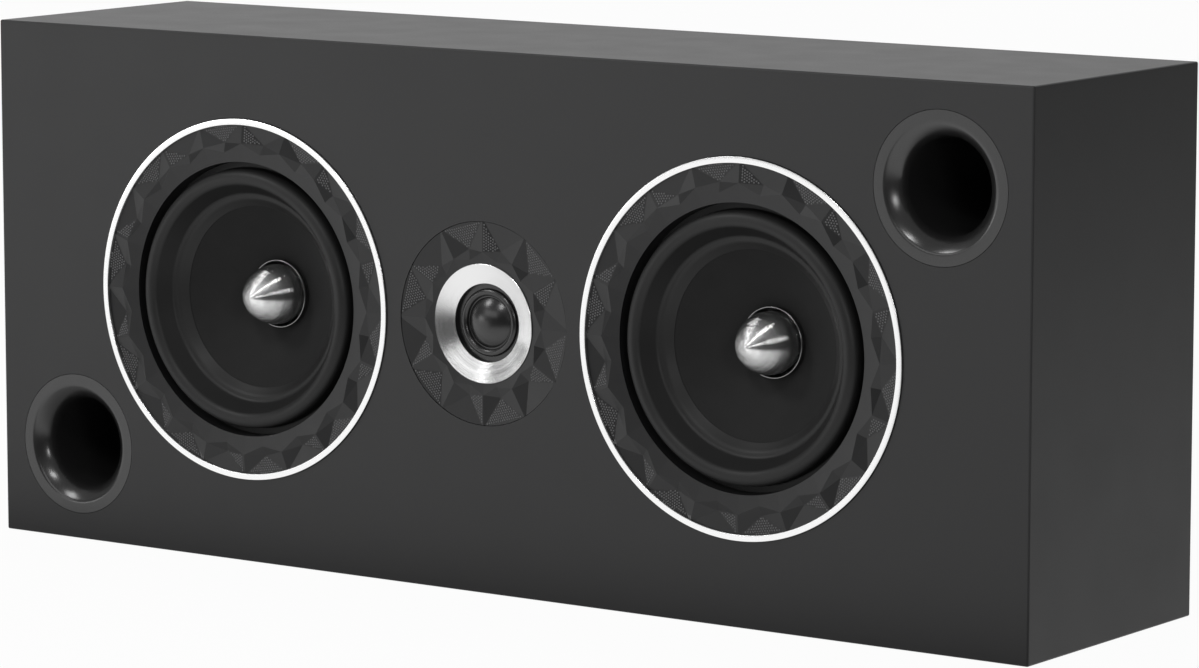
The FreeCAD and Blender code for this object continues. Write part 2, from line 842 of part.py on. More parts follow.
def woofer_cone(name, side):
    """The paper cone, gently flared, with a flat rim under the surround."""
    thick = size.cone_thick
    shoulder = size.cone_radius - size.cone_rim
    body = turned(
        f"{name}_cone",
        [
            (size.cone_radius, seat_depth),
            (shoulder, seat_depth),
            (former_out, neck_depth, Arc(size.cone_curve, left=False)),
            (former_out, neck_depth + size.neck_length),
            (shoulder - thick / 2, seat_depth + thick, Arc(size.cone_curve - thick, left=True)),
            (size.cone_radius, seat_depth + thick),
        ],
    )
    place_woofer_piece(body, name, side, "cone")


def woofer_voice_coil(name, side):
    """The former, which shows as a bright line round the plug, with its winding in the magnet's gap."""
    winding_front = coil_back - size.winding_length
    body = turned(
        f"{name}_voice_coil",
        [
            (former_in, neck_depth - size.former_lip),
            (former_out, neck_depth - size.former_lip),
            (former_out, winding_front),
            (winding_out, winding_front),
            (winding_out, coil_back),
            (former_in, coil_back),
        ],
    )
    place_woofer_piece(body, name, side, "voice_coil")


def woofer_spider(name, side):
    """The pleated cloth disc that centres the voice coil."""
    thick = size.spider_thick
    flat = spider_seat - thick
    fold_start = former_out + size.spider_land / 2
    fold_end = size.spider_radius - size.spider_land
    steps = SIZES["spider_folds"] * 2
    pleats = []
    for step in range(steps + 1):
        radius = fold_start + (fold_end - fold_start) * (step / steps)
        if step in (0, steps):
            shift = as_size(0)
        else:
            shift = size.spider_wave * (1 if step % 2 else -1)
        pleats.append((radius, shift))
    front = [(radius, flat + shift) for radius, shift in pleats]
    back = [(radius, spider_seat + shift) for radius, shift in reversed(pleats)]
    rim = [(size.spider_radius, flat), (size.spider_radius, spider_seat)]
    collar = [(former_out, spider_seat), (former_out, flat)]
    place_woofer_piece(turned(f"{name}_spider", front + rim + back + collar), name, side, "spider")


def woofer_basket(name, side):
    """The cast chassis: a flange, arms with windows between them, and a ring that holds the motor."""
    wall = size.basket_wall
    ledge = roll_out - size.surround_thick
    shoulder = seat_depth + wall * 2
    seat_in = size.spider_radius - size.spider_land
    base = size.spider_radius + wall + size.fit_gap
    bore = coil_bore + wall * 2
    body = turned(
        f"{name}_basket_casting",
        [
            (flange_radius, bezel_back),
            (bezel_in, bezel_back),
            (bezel_in, seat_depth),
            (ledge, seat_depth),
            (ledge, seat_depth + wall),
            (basket_radius - wall, shoulder),
            (size.spider_radius + size.fit_gap, spider_seat),
            (seat_in, spider_seat),
            (seat_in, motor_front - wall),
            (bore, motor_front - wall),
            (bore, motor_front),
            (base, motor_front),
            (base, spider_seat + wall),
            (basket_radius, shoulder),
            (basket_radius, flange_back),
            (flange_radius, flange_back),
        ],
    )
    half_angle = size.basket_window_angle / 2
    near_x = size.spider_radius - wall
    far_x = basket_radius + wall
    corners = [
        (near_x, -near_x * tangent(half_angle)),
        (far_x, -far_x * tangent(half_angle)),
        (far_x, far_x * tangent(half_angle)),
        (near_x, near_x * tangent(half_angle)),
    ]
    window = extrude(body, "Pocket", f"{name}_window", shoulder + wall, spider_seat - wall, loops=[corners])
    repeat_round(body, window, f"{name}_windows", size.basket_windows)
    place(body, side * woofer_x, front_y, middle_z)
    countersunk(f"{name}_basket", body, woofer_screw_places[name], front_y + bezel_back)


def woofer_motor(name, side):
    """Phase plug, top plate, magnet and the back plate with its pole."""
    base = neck_depth - size.plug_shoulder
    swing = size.plug_curve - size.plug_nose
    reach = size.plug_curve - size.plug_radius
    rise = root(swing * swing - reach * reach)
    nose = base - rise
    meeting = (size.plug_nose * reach / swing, nose - size.plug_nose * rise / swing)
    stud_end = motor_front + size.plug_stud_length
    plug = turned(
        f"{name}_plug",
        [
            (0, nose - size.plug_nose),
            (meeting[0], meeting[1], Arc(size.plug_nose, left=True)),
            (size.plug_radius, base, Arc(size.plug_curve, left=True)),
            (size.plug_radius, motor_front),
            (size.plug_stud_radius, motor_front),
            (size.plug_stud_radius, stud_end),
            (0, stud_end),
        ],
    )
    place_woofer_piece(plug, name, side, "phase_plug")
    plate_radius = size.magnet_radius - size.plate_inset
    washers = (
        ("top_plate", coil_bore, plate_radius, motor_front, magnet_front),
        ("magnet", size.magnet_bore, size.magnet_radius, magnet_front, magnet_back),
    )
    for piece, bore, radius, near, far in washers:
        body = turned(f"{name}_{piece}", rectangle(bore, near, radius, far))
        place_woofer_piece(body, name, side, piece)
    bore = size.plug_stud_radius + size.screw_gap
    yoke = turned(
        f"{name}_yoke",
        [
            (bore, motor_front),
            (size.pole_radius, motor_front),
            (size.pole_radius, magnet_back),
            (plate_radius, magnet_back),
            (plate_radius, magnet_back + size.yoke_thick),
            (bore, magnet_back + size.yoke_thick),
        ],
    )
    place_woofer_piece(yoke, name, side, "pole_yoke")


def woofer(name, side):
    woofer_trim(name, side)
    woofer_surround(name, side)
    woofer_cone(name, side)
    woofer_voice_coil(name, side)
    woofer_spider(name, side)
    woofer_basket(name, side)
    woofer_motor(name, side)
    inner = woofer_hole + size.fit_gap
    gasket = turned(f"{name}_gasket", rectangle(inner, flange_back, flange_radius, woofer_rebate))
    hole = size.screw_radius + size.screw_gap
    circle = [(woofer_screw_circle, 0, hole)]
    pierce = extrude(gasket, "Pocket", f"{name}_gasket_hole", flange_back, woofer_rebate, circles=circle)
    repeat_round(gasket, pierce, f"{name}_gasket_holes", size.woofer_screws)
    place_woofer_piece(gasket, name, side, "gasket")
    screws(f"{name}_woofer_screws", woofer_screw_places[name], front_y + bezel_back)


# Tweeter

def place_tweeter_piece(body, piece):
    place(body, 0, front_y, middle_z)
    return keep(body, f"tweeter_{piece}")


def tweeter_front():
    """The faceted plate, the bright conical ring and the carrier that screws to the baffle."""
    thick = size.tweeter_plate_thick
    blank = turned("tweeter_plate_blank", rectangle(tweeter_plate_in, 0, tweeter_plate_radius, thick))
    count = SIZES["tweeter_facet_count"]
    rings = [
        (rim_corner(tweeter_plate_radius, count), size.tweeter_rim_depth),
        (tweeter_plate_radius - size.tweeter_hollow_inset, size.tweeter_hollow_depth),
        (tweeter_plate_radius - size.tweeter_crest_inset, size.tweeter_crest_depth),
        (tweeter_plate_radius - size.tweeter_tip_inset, size.tweeter_tip_depth),
        tweeter_plate_in - size.fit_gap,
    ]
    cutter = facet_cutter("tweeter_facets", count, rings, size.facet_room)
    faceted("tweeter_facet_plate", blank, cutter, 0)
    waveguide = turned(
        "tweeter_waveguide",
        [
            (waveguide_in, thick),
            (waveguide_in, thick - size.waveguide_lip),
            (waveguide_out, size.waveguide_recess),
            (waveguide_out, thick),
        ],
    )
    place_tweeter_piece(waveguide, "waveguide_ring")
    flange = turned("tweeter_carrier", rectangle(waveguide_in, thick, tweeter_plate_radius, tweeter_rebate))
    place(flange, 0, front_y, middle_z)
    countersunk("tweeter_flange", flange, tweeter_screw_places, front_y + thick)


def tweeter_dome():
    """The soft dome and its roll, formed from one piece of cloth, and the voice coil on it."""
    thick = size.dome_thick
    radius = size.dome_radius
    curve = (radius * radius + size.dome_height * size.dome_height) / (size.dome_height * 2)
    inside = curve - thick
    sunk = curve - size.dome_height
    inner = root(inside * inside - sunk * sunk)
    roll = size.dome_roll
    small = roll - thick
    back = dome_base + thick
    body = turned(
        "tweeter_dome",
        [
            (0, dome_base - size.dome_height),
            (radius, dome_base, Arc(curve, left=True)),
            (dome_roll_in, dome_base),
            (dome_roll_middle, dome_base - roll, Arc(roll, left=True)),
            (dome_roll_middle + roll, dome_base, Arc(roll, left=True)),
            (dome_out, dome_base),
            (dome_out, back),
            (dome_roll_middle + small, back),
            (dome_roll_middle + small, dome_base),
            (dome_roll_middle, dome_base - small, Arc(small, left=False)),
            (dome_roll_middle - small, dome_base, Arc(small, left=False)),
            (dome_roll_middle - small, back),
            (inner, back),
            (inner, dome_base),
            (0, dome_base - size.dome_height + thick, Arc(inside, left=False)),
        ],
    )
    place_tweeter_piece(body, "dome")
    coil = rectangle(dome_coil_in, back, dome_coil_out, back + size.tweeter_coil_length)
    place_tweeter_piece(turned("tweeter_voice_coil", coil), "voice_coil")


def tweeter_motor():
    front = tweeter_rebate
    magnet = front + size.tweeter_top_thick
    plate = magnet + size.tweeter_magnet_thick
    radius = size.tweeter_magnet_radius
    washers = (
        ("top_plate", dome_coil_out + size.tweeter_coil_gap, radius, front, magnet),
        ("magnet", size.tweeter_magnet_bore, radius, magnet, plate),
    )
    for piece, bore, outer, near, far in washers:
        place_tweeter_piece(turned(f"tweeter_{piece}", rectangle(bore, near, outer, far)), piece)
    pole = dome_coil_in - size.tweeter_coil_gap
    yoke = turned(
        "tweeter_yoke",
        [
            (0, front),
            (pole, front),
            (pole, plate),
            (radius, plate),
            (radius, plate + size.tweeter_yoke_thick),
            (0, plate + size.tweeter_yoke_thick),
        ],
    )
    place_tweeter_piece(yoke, "pole_yoke")


def tweeter():
    tweeter_front()
    tweeter_dome()
    tweeter_motor()
    screws("tweeter_mounting_screws", tweeter_screw_places, front_y + size.tweeter_plate_thick)


# Bass ports

def port(name):
    """A tube with a flared mouth: a rounded edge and a cone, let into the baffle flush with its face."""
    body = turned(
        f"{name}_port",
        [
            (port_mouth, 0),
            (port_cone_radius, port_cone_front, Arc(size.port_edge, left=False)),
            (size.port_throat, port_cone_back),
            (size.port_throat, size.port_length),
            (port_tube, size.port_length),
            (port_tube, port_tube_front),
            (port_body, port_flange_thick),
            (port_flange, port_flange_thick),
            (port_flange, 0),
        ],
    )
    x, z = port_places[name]
    place(body, x, front_y, z)
    keep(body, f"{name}_port")


# Terminals at the back, in depths from the rear face, which are negative inside

def terminal_cup_moulding():
    body = new_body("cup_moulding")
    lip = rounded_rectangle(cup_half_width, cup_half_height, size.cup_corner)
    extrude(body, "Pad", "cup_lip_plate", -size.cup_lip_thick, 0, loops=[lip])
    outer_width = size.cup_width / 2 + size.cup_wall
    outer_height = size.cup_height / 2 + size.cup_wall
    floor = -size.cup_depth
    shell = rectangle(-outer_width, -outer_height, outer_width, outer_height)
    extrude(body, "Pad", "cup_shell", floor - size.cup_wall, 0, loops=[shell])
    inside = rounded_rectangle(size.cup_width / 2, size.cup_height / 2, size.cup_corner)
    extrude(body, "Pocket", "cup_recess", floor, 0, loops=[inside])
    shank = size.post_shank_radius + size.screw_gap
    posts = [(side * size.post_spacing / 2, 0, shank) for side in SIDES.values()]
    extrude(body, "Pocket", "post_holes", floor - size.cup_wall, floor, circles=posts)
    return place(body, 0, back_y, middle_z)


def binding_post(name, side):
    """A hollow screw post that takes a plug in its end, and the fluted nut that clamps a bare wire."""
    x = side * size.post_spacing / 2
    floor = -size.cup_depth
    collar = floor + size.post_collar_thick
    end = -size.post_inset
    bore_end = end - size.post_bore_depth
    shank_end = floor - size.cup_wall - size.post_shank_length
    post = turned(
        f"{name}_post",
        [
            (size.post_bore_radius, end),
            (size.post_stud_radius, end),
            (size.post_stud_radius, collar),
            (size.post_collar_radius, collar),
            (size.post_collar_radius, floor),
            (size.post_shank_radius, floor),
            (size.post_shank_radius, shank_end),
            (0, shank_end),
            (0, bore_end),
            (size.post_bore_radius, bore_end),
        ],
    )
    place(post, x, back_y, middle_z)
    keep(post, f"{name}_post")
    near = collar + size.nut_wire_gap
    bore = size.post_stud_radius + size.nut_thread_gap
    nut = turned(f"{name}_nut", rectangle(bore, near, size.nut_radius, near + size.nut_length))
    circle = [(size.nut_radius + size.nut_flute_radius / 2, 0, size.nut_flute_radius)]
    flute = extrude(nut, "Pocket", f"{name}_nut_flute", near, near + size.nut_length, circles=circle)
    repeat_round(nut, flute, f"{name}_nut_flutes", size.nut_flutes)
    place(nut, x, back_y, middle_z)
    keep(nut, f"{name}_nut")


def lock_nuts():
    """The hexagon nuts that hold both posts, inside the cabinet."""
    body = new_body("post_lock_nuts")
    corner = size.lock_nut_flat / (2 * cosine(30.0))
    hexagons = []
    bores = []
    for side in SIDES.values():
        x = side * size.post_spacing / 2
        hexagons.append([(x + corner * cosine(60.0 * k), corner * sine(60.0 * k)) for k in range(6)])
        bores.append((x, 0, size.post_shank_radius + size.screw_gap))
    far = -size.cup_depth - size.cup_wall
    extrude(body, "Pad", "lock_nut_pair", far - size.lock_nut_thick, far, loops=hexagons, circles=bores)
    place(body, 0, back_y, middle_z)
    keep(body, "post_lock_nuts")


def terminals():
    countersunk("terminal_cup", terminal_cup_moulding(), cup_screw_places, back_y, inwards=-1)
    screws("terminal_cup_screws", cup_screw_places, back_y, inwards=-1)
    for name, side in (("negative", -1), ("positive", 1)):
        binding_post(name, side)
    lock_nuts()


# Crossover, on the bottom panel behind the right woofer

board_y = inner_back - size.foam_thick - size.board_gap - size.board_depth / 2
board_z = size.wall_thick + size.standoff_height
board_top = board_z + size.board_thick


def bobbin(label, radius, tall, u, v):
    """A coil wound on a bobbin with two cheeks, standing on the board."""
    body = new_body(label)
    groove = radius - size.bobbin_groove
    cheek = size.bobbin_cheek
    outline = [
        (size.bobbin_bore, 0),
        (radius, 0),
        (radius, cheek),
        (groove, cheek),
        (groove, tall - cheek),
        (radius, tall - cheek),
        (radius, tall),
        (size.bobbin_bore, tall),
    ]
    sketch = draw(body, f"{label}_outline", "XZ_Plane", loops=[outline])
    turn = body.newObject("PartDesign::Revolution", f"{label}_turn")
    turn.Profile = sketch
    turn.ReferenceAxis = (sketch, ["V_Axis"])
    turn.Angle = 360
    place(body, woofer_x + u, front_y + board_y + v, board_top)
    keep(body, label)


def crossover():
    half_width = size.board_width / 2
    half_depth = size.board_depth / 2
    far_u = half_width - size.standoff_inset
    far_v = half_depth - size.standoff_inset
    corners = [(u * far_u, v * far_v) for u in (-1, 1) for v in (-1, 1)]
    board = new_body("crossover_board")
    outline = rectangle(-half_width, -half_depth, half_width, half_depth)
    pin_hole = size.standoff_pin_radius + size.screw_gap
    circles = [(u, v, pin_hole) for u, v in corners]
    extrude(board, "Pad", "board_sheet", 0, size.board_thick, "XY_Plane", loops=[outline], circles=circles)
    place(board, woofer_x, front_y + board_y, board_z)
    keep(board, "crossover_board")

    feet = new_body("crossover_standoffs")
    posts = [(u, v, size.standoff_radius) for u, v in corners]
    extrude(feet, "Pad", "standoff_posts", 0, size.standoff_height, "XY_Plane", circles=posts)
    pins = [(u, v, size.standoff_pin_radius) for u, v in corners]
    pin_top = size.standoff_height + size.board_thick + size.standoff_pin_proud
    extrude(feet, "Pad", "standoff_pins", 0, pin_top, "XY_Plane", circles=pins)
    place(feet, woofer_x, front_y + board_y, size.wall_thick)
    keep(feet, "crossover_standoffs")

    inset = size.standoff_inset * 4
    woofer_coil = (size.woofer_coil_radius, size.woofer_coil_height)
    bobbin("woofer_inductor", *woofer_coil, inset - half_width, size.woofer_coil_shift)
    bobbin("tweeter_inductor", size.tweeter_coil_radius, size.tweeter_coil_height, 0, half_depth / 2)

    capacitors = new_body("crossover_capacitors")
    radius = size.capacitor_radius
    row = radius * 2 + size.capacitor_gap
    first = size.standoff_inset + radius - half_depth
    far_end = half_width - size.standoff_inset * 2
    ends = (far_end - size.capacitor_length, far_end)
    rows = [(first, radius, radius), (first + row, radius, radius)]
    extrude(capacitors, "Pad", "capacitor_cans", *ends, "YZ_Plane", circles=rows)
    place(capacitors, woofer_x, front_y + board_y, board_top)
    keep(capacitors, "crossover_capacitors")

    resistor = doc.addObject("Part::Box", "crossover_resistor")
    resistor.setExpression("Length", size.resistor_length.text)
    resistor.setExpression("Width", size.resistor_side.text)
    resistor.setExpression("Height", size.resistor_side.text)
    left = woofer_x - size.resistor_length
    place(resistor, left, front_y + board_y - half_depth + size.standoff_inset, board_top)
    keep(resistor, "crossover_resistor")


cabinet()
for side_name, side_sign in SIDES.items():
    woofer(side_name, side_sign)
    port(side_name)
tweeter()
terminals()
crossover()
doc.recompute()

# Every feature has to be sound before a file is written

for item in doc.Objects:
    if "Invalid" in item.State or "Error" in item.State:
        raise RuntimeError(f"{item.Name} ({item.Label}) failed: {item.State}")
os.makedirs("parts", exist_ok=True)
for piece in pieces:
    if piece.Shape.isNull() or not piece.Shape.isValid():
        raise RuntimeError(f"{piece.Label} has no valid shape")
for piece in pieces:
    piece.Shape.exportStep(f"parts/{piece.Label}.step")
print(f"{len(pieces)} sub-parts, {2 * half_width.value:.1f} x {depth.value:.1f} x {height.value:.1f} mm")
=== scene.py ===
# %% [markdown]
# # A home theater speaker
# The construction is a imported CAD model: sixty named pieces in one frame, in metres, with +Z up and the
# front towards -Y. It is loaded first, and nothing in it is moved or resized. This lesson dresses it. Round
# pieces get smooth turned meshes, the faceted trims get their raised dots, and every piece gets a finish
# that is worked out by nodes, so that it holds up from close by and under other light.

# %% Load the frame
import json
import math

import bmesh
import bpy
import numpy as np
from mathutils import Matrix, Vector


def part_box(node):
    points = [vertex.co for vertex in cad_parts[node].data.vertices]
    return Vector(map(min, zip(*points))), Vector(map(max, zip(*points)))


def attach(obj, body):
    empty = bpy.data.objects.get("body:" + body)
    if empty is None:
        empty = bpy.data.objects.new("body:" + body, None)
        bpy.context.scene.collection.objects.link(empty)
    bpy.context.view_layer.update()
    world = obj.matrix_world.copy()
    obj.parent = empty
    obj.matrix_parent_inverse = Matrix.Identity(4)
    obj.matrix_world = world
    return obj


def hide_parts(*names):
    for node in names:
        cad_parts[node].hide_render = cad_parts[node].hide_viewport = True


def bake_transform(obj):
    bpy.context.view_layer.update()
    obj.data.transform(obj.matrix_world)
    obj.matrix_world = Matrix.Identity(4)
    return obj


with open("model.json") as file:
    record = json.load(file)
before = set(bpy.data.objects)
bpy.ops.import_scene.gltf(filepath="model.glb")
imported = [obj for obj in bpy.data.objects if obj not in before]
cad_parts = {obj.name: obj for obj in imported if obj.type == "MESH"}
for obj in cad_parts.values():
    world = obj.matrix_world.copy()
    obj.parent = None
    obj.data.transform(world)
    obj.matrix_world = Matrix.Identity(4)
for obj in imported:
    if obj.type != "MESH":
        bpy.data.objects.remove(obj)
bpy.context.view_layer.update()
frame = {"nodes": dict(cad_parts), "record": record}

SIDES = ("left", "right")
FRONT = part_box("front_baffle")[0].y


def middle(node):
    """The middle of a CAD node's box."""
    low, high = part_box(node)
    return (low + high) / 2


def reach(node):
    """The outer radius of a round CAD node that faces the front."""
    low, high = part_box(node)
    return (high.x - low.x) / 2


def depths(node):
    """How far behind the baffle's face a CAD node starts and ends."""
    low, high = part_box(node)
    return low.y - FRONT, high.y - FRONT


# %% [markdown]
# ## The camera
# The picture was taken with a long lens from the right and a little above. The eye point, the direction and
# the focal length were solved from the corners of the cabinet and the round outlines on its front, and they
# are real sizes in the part's own frame. A long lens far away and a short one close by can frame the object
# alike, but only one pair gives the right vanishing points.

# %% Camera
EYE = Vector((1.5728, -2.1846, 0.5047))
GAZE = Vector((-0.57435, 0.80637, -0.14104))
LENS_MM = 161.8
SENSOR_MM = 36.0

scene = bpy.context.scene
scene.view_settings.view_transform = "Standard"
camera_data = bpy.data.cameras.new("camera")
camera_data.lens = LENS_MM
camera_data.sensor_width = SENSOR_MM
camera_data.sensor_fit = "HORIZONTAL"
camera = bpy.data.objects.new("camera", camera_data)
camera.location = EYE
camera.rotation_mode = "QUATERNION"
camera.rotation_quaternion = GAZE.to_track_quat("-Z", "Y")
scene.collection.objects.link(camera)
scene.camera = camera
print("camera at", tuple(EYE), "with a lens of", LENS_MM, "mm")

# %% [markdown]
# ## Writing nodes as sums
# Finishes, the surroundings and the repeated dots are all node trees. Adding each node by hand hides the
# idea in bookkeeping, so two small classes do it. A Wire is one output, and sums of wires add Math nodes. A
# Graph adds any other node by its type, its settings and what goes into its sockets.

# %% Wires and graphs
class Wire:
    """One output of a node, which can be used in sums."""

    def __init__(self, graph, socket):
        self.graph = graph
        self.socket = socket

    def math(self, operation, *others):
        values = dict(enumerate((self, *others)))
        return self.graph.node("ShaderNodeMath", values, operation=operation)

    def __add__(self, other):
        return self.math("ADD", other)

    def __sub__(self, other):
        return self.math("SUBTRACT", other)

    def __rsub__(self, other):
        return self.graph.node("ShaderNodeMath", {0: other, 1: self}, operation="SUBTRACT")

    def __mul__(self, other):
        return self.math("MULTIPLY", other)

    def __truediv__(self, other):
        return self.math("DIVIDE", other)


class Graph:
    """A node tree that is filled by Python."""

    def __init__(self, tree):
        self.tree = tree

    def feed(self, socket, value):
        if isinstance(value, Wire):
            self.tree.links.new(value.socket, socket)
        else:
            socket.default_value = value

    def node(self, kind, inputs=None, output=0, **settings):
        made = self.tree.nodes.new(kind)
        for name, value in settings.items():
            setattr(made, name, value)
        for name, value in (inputs or {}).items():
            self.feed(made.inputs[name], value)
        return Wire(self, made.outputs[output]) if made.outputs else made

    def vector(self, operation, *values, output="Vector"):
        return self.node("ShaderNodeVectorMath", dict(enumerate(values)), output, operation=operation)

    def scaled(self, vector, factor):
        return self.node("ShaderNodeVectorMath", {0: vector, "Scale": factor}, operation="SCALE")

    def axis(self, vector, name):
        return self.node("ShaderNodeSeparateXYZ", {0: vector}, output=name)

    def smooth(self, value, low, high):
        inputs = {"Value": value, "From Min": low, "From Max": high}
        return self.node("ShaderNodeMapRange", inputs, interpolation_type="SMOOTHSTEP")


print("node helpers are ready")

# %% [markdown]
# ## Surroundings
# A dark satin cabinet shows its form by what it mirrors, so the surroundings matter as much as the lamps. A
# picture of a studio would be one way, but a few soft steps between greys can be tuned one by one. The
# studio is white behind the speaker, a little less so towards the right. It is a dark grey on the left, a
# lighter one overhead, and darkest in front, where the camera stands. The camera itself sees plain white.

# %% Surroundings
FRONT_GREY = 0.08
LEFT_SHARE = 0.15
OVERHEAD_GREY = 0.30
RIGHT_GREY = 0.75
LEFT_EDGE = (0.22, 0.50)
BEHIND_EDGE = (-0.10, 0.45)
RIGHT_EDGE = (-0.75, -0.25)
TABLE_EDGE = (0.15, 0.40)
OVERHEAD_EDGE = (0.10, 0.62)


def white_walls(graph, toward, left_share=1.0):
    """How white the studio is: 1 behind, less on the right, left_share on the left and 0 in front."""
    left = graph.smooth(graph.axis(toward, "X") * -1.0, *LEFT_EDGE) * left_share
    behind = graph.smooth(graph.axis(toward, "Y"), *BEHIND_EDGE)
    dim = graph.smooth(graph.axis(toward, "X"), *RIGHT_EDGE) * (1 - RIGHT_GREY)
    return left.math("MAXIMUM", behind * (1 - dim))


world = bpy.data.worlds.new("studio")
scene.world = world
world.use_nodes = True
world.node_tree.nodes.clear()
studio = Graph(world.node_tree)
toward = studio.node("ShaderNodeTexCoord", output="Generated")
overhead = studio.smooth(studio.axis(toward, "Z"), *OVERHEAD_EDGE)
ahead = 1 - studio.smooth(studio.axis(toward, "Y"), *BEHIND_EDGE)
walls = white_walls(studio, toward, LEFT_SHARE) * (1 - FRONT_GREY) + FRONT_GREY
ceiling = ahead * overhead
shade = walls * (1 - ceiling) + ceiling * OVERHEAD_GREY
to_camera = studio.node("ShaderNodeLightPath", output="Is Camera Ray")
white = studio.node("ShaderNodeBackground", {"Strength": shade.math("MAXIMUM", to_camera)})
studio.feed(white.socket.node.inputs["Color"], (1.0, 1.0, 1.0, 1.0))
studio.node("ShaderNodeOutputWorld", {"Surface": white})
print("surroundings: white behind, dark on the left, a grey of", FRONT_GREY, "in front")

# %% [markdown]
# ### Floor
# The speaker stands on a white table. Mirrors that look steeply down see white, and so do those that look
# along it to the left or to the back. Those that look along it to the front see a dark grey. Just in front of
# the cabinet, what mirrors see of the table is darkened by a painted shade, where it would lie in the
# cabinet's shade. A plain lit plane can't be all of that at once, so the shader goes by the kind of ray: for
# mirrors it glows in those greys, for the camera in white, and the small part that doesn't glow keeps the
# shadow.

# %% Floor
FLOOR_REACH = 14.0
FLOOR_DROP = 0.0002
FLOOR_WHITE = 0.80
FLOOR_GLOW = 0.96
PAINTED_SHADE_REACH = 0.11
PAINTED_SHADE_GREY = 0.30

floor_mesh = bpy.data.meshes.new("floor")
corners = [(x, y, -FLOOR_DROP) for x, y in ((-1, -1), (1, -1), (1, 1), (-1, 1))]
corners = [(x * FLOOR_REACH, y * FLOOR_REACH, z) for x, y, z in corners]
floor_mesh.from_pydata(corners, [], [(0, 1, 2, 3)])
floor = bpy.data.objects.new("floor", floor_mesh)
scene.collection.objects.link(floor)

paper = bpy.data.materials.new("floor_paper")
paper.use_nodes = True
paper.node_tree.nodes.clear()
sheet = Graph(paper.node_tree)
ray = sheet.scaled(sheet.node("ShaderNodeNewGeometry", output="Incoming"), -1.0)
table = sheet.smooth(sheet.axis(ray, "Z") * -1.0, *TABLE_EDGE)
mirrored = white_walls(sheet, ray).math("MAXIMUM", table) * (1 - FRONT_GREY) + FRONT_GREY
# Painted shade: what mirrors see of the floor is darkened just in front of the cabinet.
gap = FRONT - sheet.axis(sheet.node("ShaderNodeTexCoord", output="Object"), "Y")
painted_shade = (1 - sheet.smooth(gap, 0.0, PAINTED_SHADE_REACH)) * gap.math("GREATER_THAN", 0.0)
mirrored = mirrored * (1 - painted_shade * (1 - PAINTED_SHADE_GREY))
to_camera = sheet.node("ShaderNodeLightPath", output="Is Camera Ray")
to_mirror = sheet.node("ShaderNodeLightPath", output="Is Glossy Ray")
lit = sheet.node("ShaderNodeBsdfDiffuse", {"Color": (FLOOR_WHITE, FLOOR_WHITE, FLOOR_WHITE, 1.0)})
glow = sheet.node("ShaderNodeEmission", {"Strength": mirrored.math("MAXIMUM", to_camera)})
share = (to_camera * FLOOR_GLOW).math("MAXIMUM", to_mirror)
blend = sheet.node("ShaderNodeMixShader", {0: share, 1: lit, 2: glow})
sheet.node("ShaderNodeOutputMaterial", {"Surface": blend})
floor_mesh.materials.append(paper)
print("floor:", 2 * FLOOR_REACH, "m across")

# %% [markdown]
# ### Grey flag
# Photographers stand a grey board beside an object to keep one side of it dark. This one stands on the right,
# so that the side panel mirrors less white than the top does. A darker wall would dim the top as well. The
# camera doesn't see the board, and it casts no shadow.

# %% Grey flag
FLAG_X = 1.0
FLAG_REACH = (-0.40, 2.6)
FLAG_TOP = 0.9
FLAG_GREY = 0.12

flag_mesh = bpy.data.meshes.new("grey_flag")
near, far = FLAG_REACH
corners = [(FLAG_X, near, 0.0), (FLAG_X, far, 0.0), (FLAG_X, far, FLAG_TOP), (FLAG_X, near, FLAG_TOP)]
flag_mesh.from_pydata(corners, [], [(0, 1, 2, 3)])
flag = bpy.data.objects.new("grey_flag", flag_mesh)
flag.visible_camera = False
flag.visible_shadow = False
scene.collection.objects.link(flag)
felt = bpy.data.materials.new("flag_felt")
felt.use_nodes = True
felt.node_tree.nodes.clear()
cloth = Graph(felt.node_tree)
matt = cloth.node("ShaderNodeBsdfDiffuse", {"Color": (FLAG_GREY, FLAG_GREY, FLAG_GREY, 1.0)})
cloth.node("ShaderNodeOutputMaterial", {"Surface": matt})
flag_mesh.materials.append(felt)
print("flag:", far - near, "m long on the right, not seen by the camera")

# %% [markdown]
# ### Lamps
# Five softboxes stand in a wide arc in front. A lamp leaves a streak on turned metal, and where the streak
# lies tells where the lamp stood. So each lamp is written as a direction, a size and a radiance, and its
# power is worked out from them.

# %% Lamps
LAMP_DISTANCE = 2.4
LAMPS = {
    "left_softbox": {"from": (-0.74, -0.67, 0.05), "size": (0.80, 0.36), "radiance": 2.4},
    "strip_softbox": {"from": (-0.31, -0.89, 0.33), "size": (1.90, 0.60), "radiance": 1.35},
    "high_softbox": {"from": (-0.55, -0.52, 0.654), "size": (0.56, 0.56), "radiance": 8.0},
    "front_softbox": {"from": (0.148, -0.708, 0.689), "size": (0.30, 0.5), "radiance": 16.0},
    "right_softbox": {"from": (0.7605, -0.59, 0.267), "size": (0.44, 0.42), "radiance": 9.0},
}

aim = middle("tweeter_dome")
for name, lamp in LAMPS.items():
    width, tall = lamp["size"]
    light = bpy.data.lights.new(name, "AREA")
    light.shape = "RECTANGLE"
    light.size = width
    light.size_y = tall
    light.energy = lamp["radiance"] * math.pi * width * tall
    direction = Vector(lamp["from"]).normalized()
    holder = bpy.data.objects.new(name, light)
    holder.location = aim + direction * LAMP_DISTANCE
    holder.rotation_mode = "QUATERNION"
    holder.rotation_quaternion = direction.to_track_quat("Z", "Y")
    holder.visible_camera = False
    scene.collection.objects.link(holder)
print("lamps:", ", ".join(LAMPS))

# %% [markdown]
# ## Finishes
# A finish is a Principled shader with a little of what the real surface has: a grain that can be felt more
# than seen, a gloss that is never quite even, and a colour that drifts. All of it is read from object
# coordinates, so that a pattern stays on the piece when it moves.

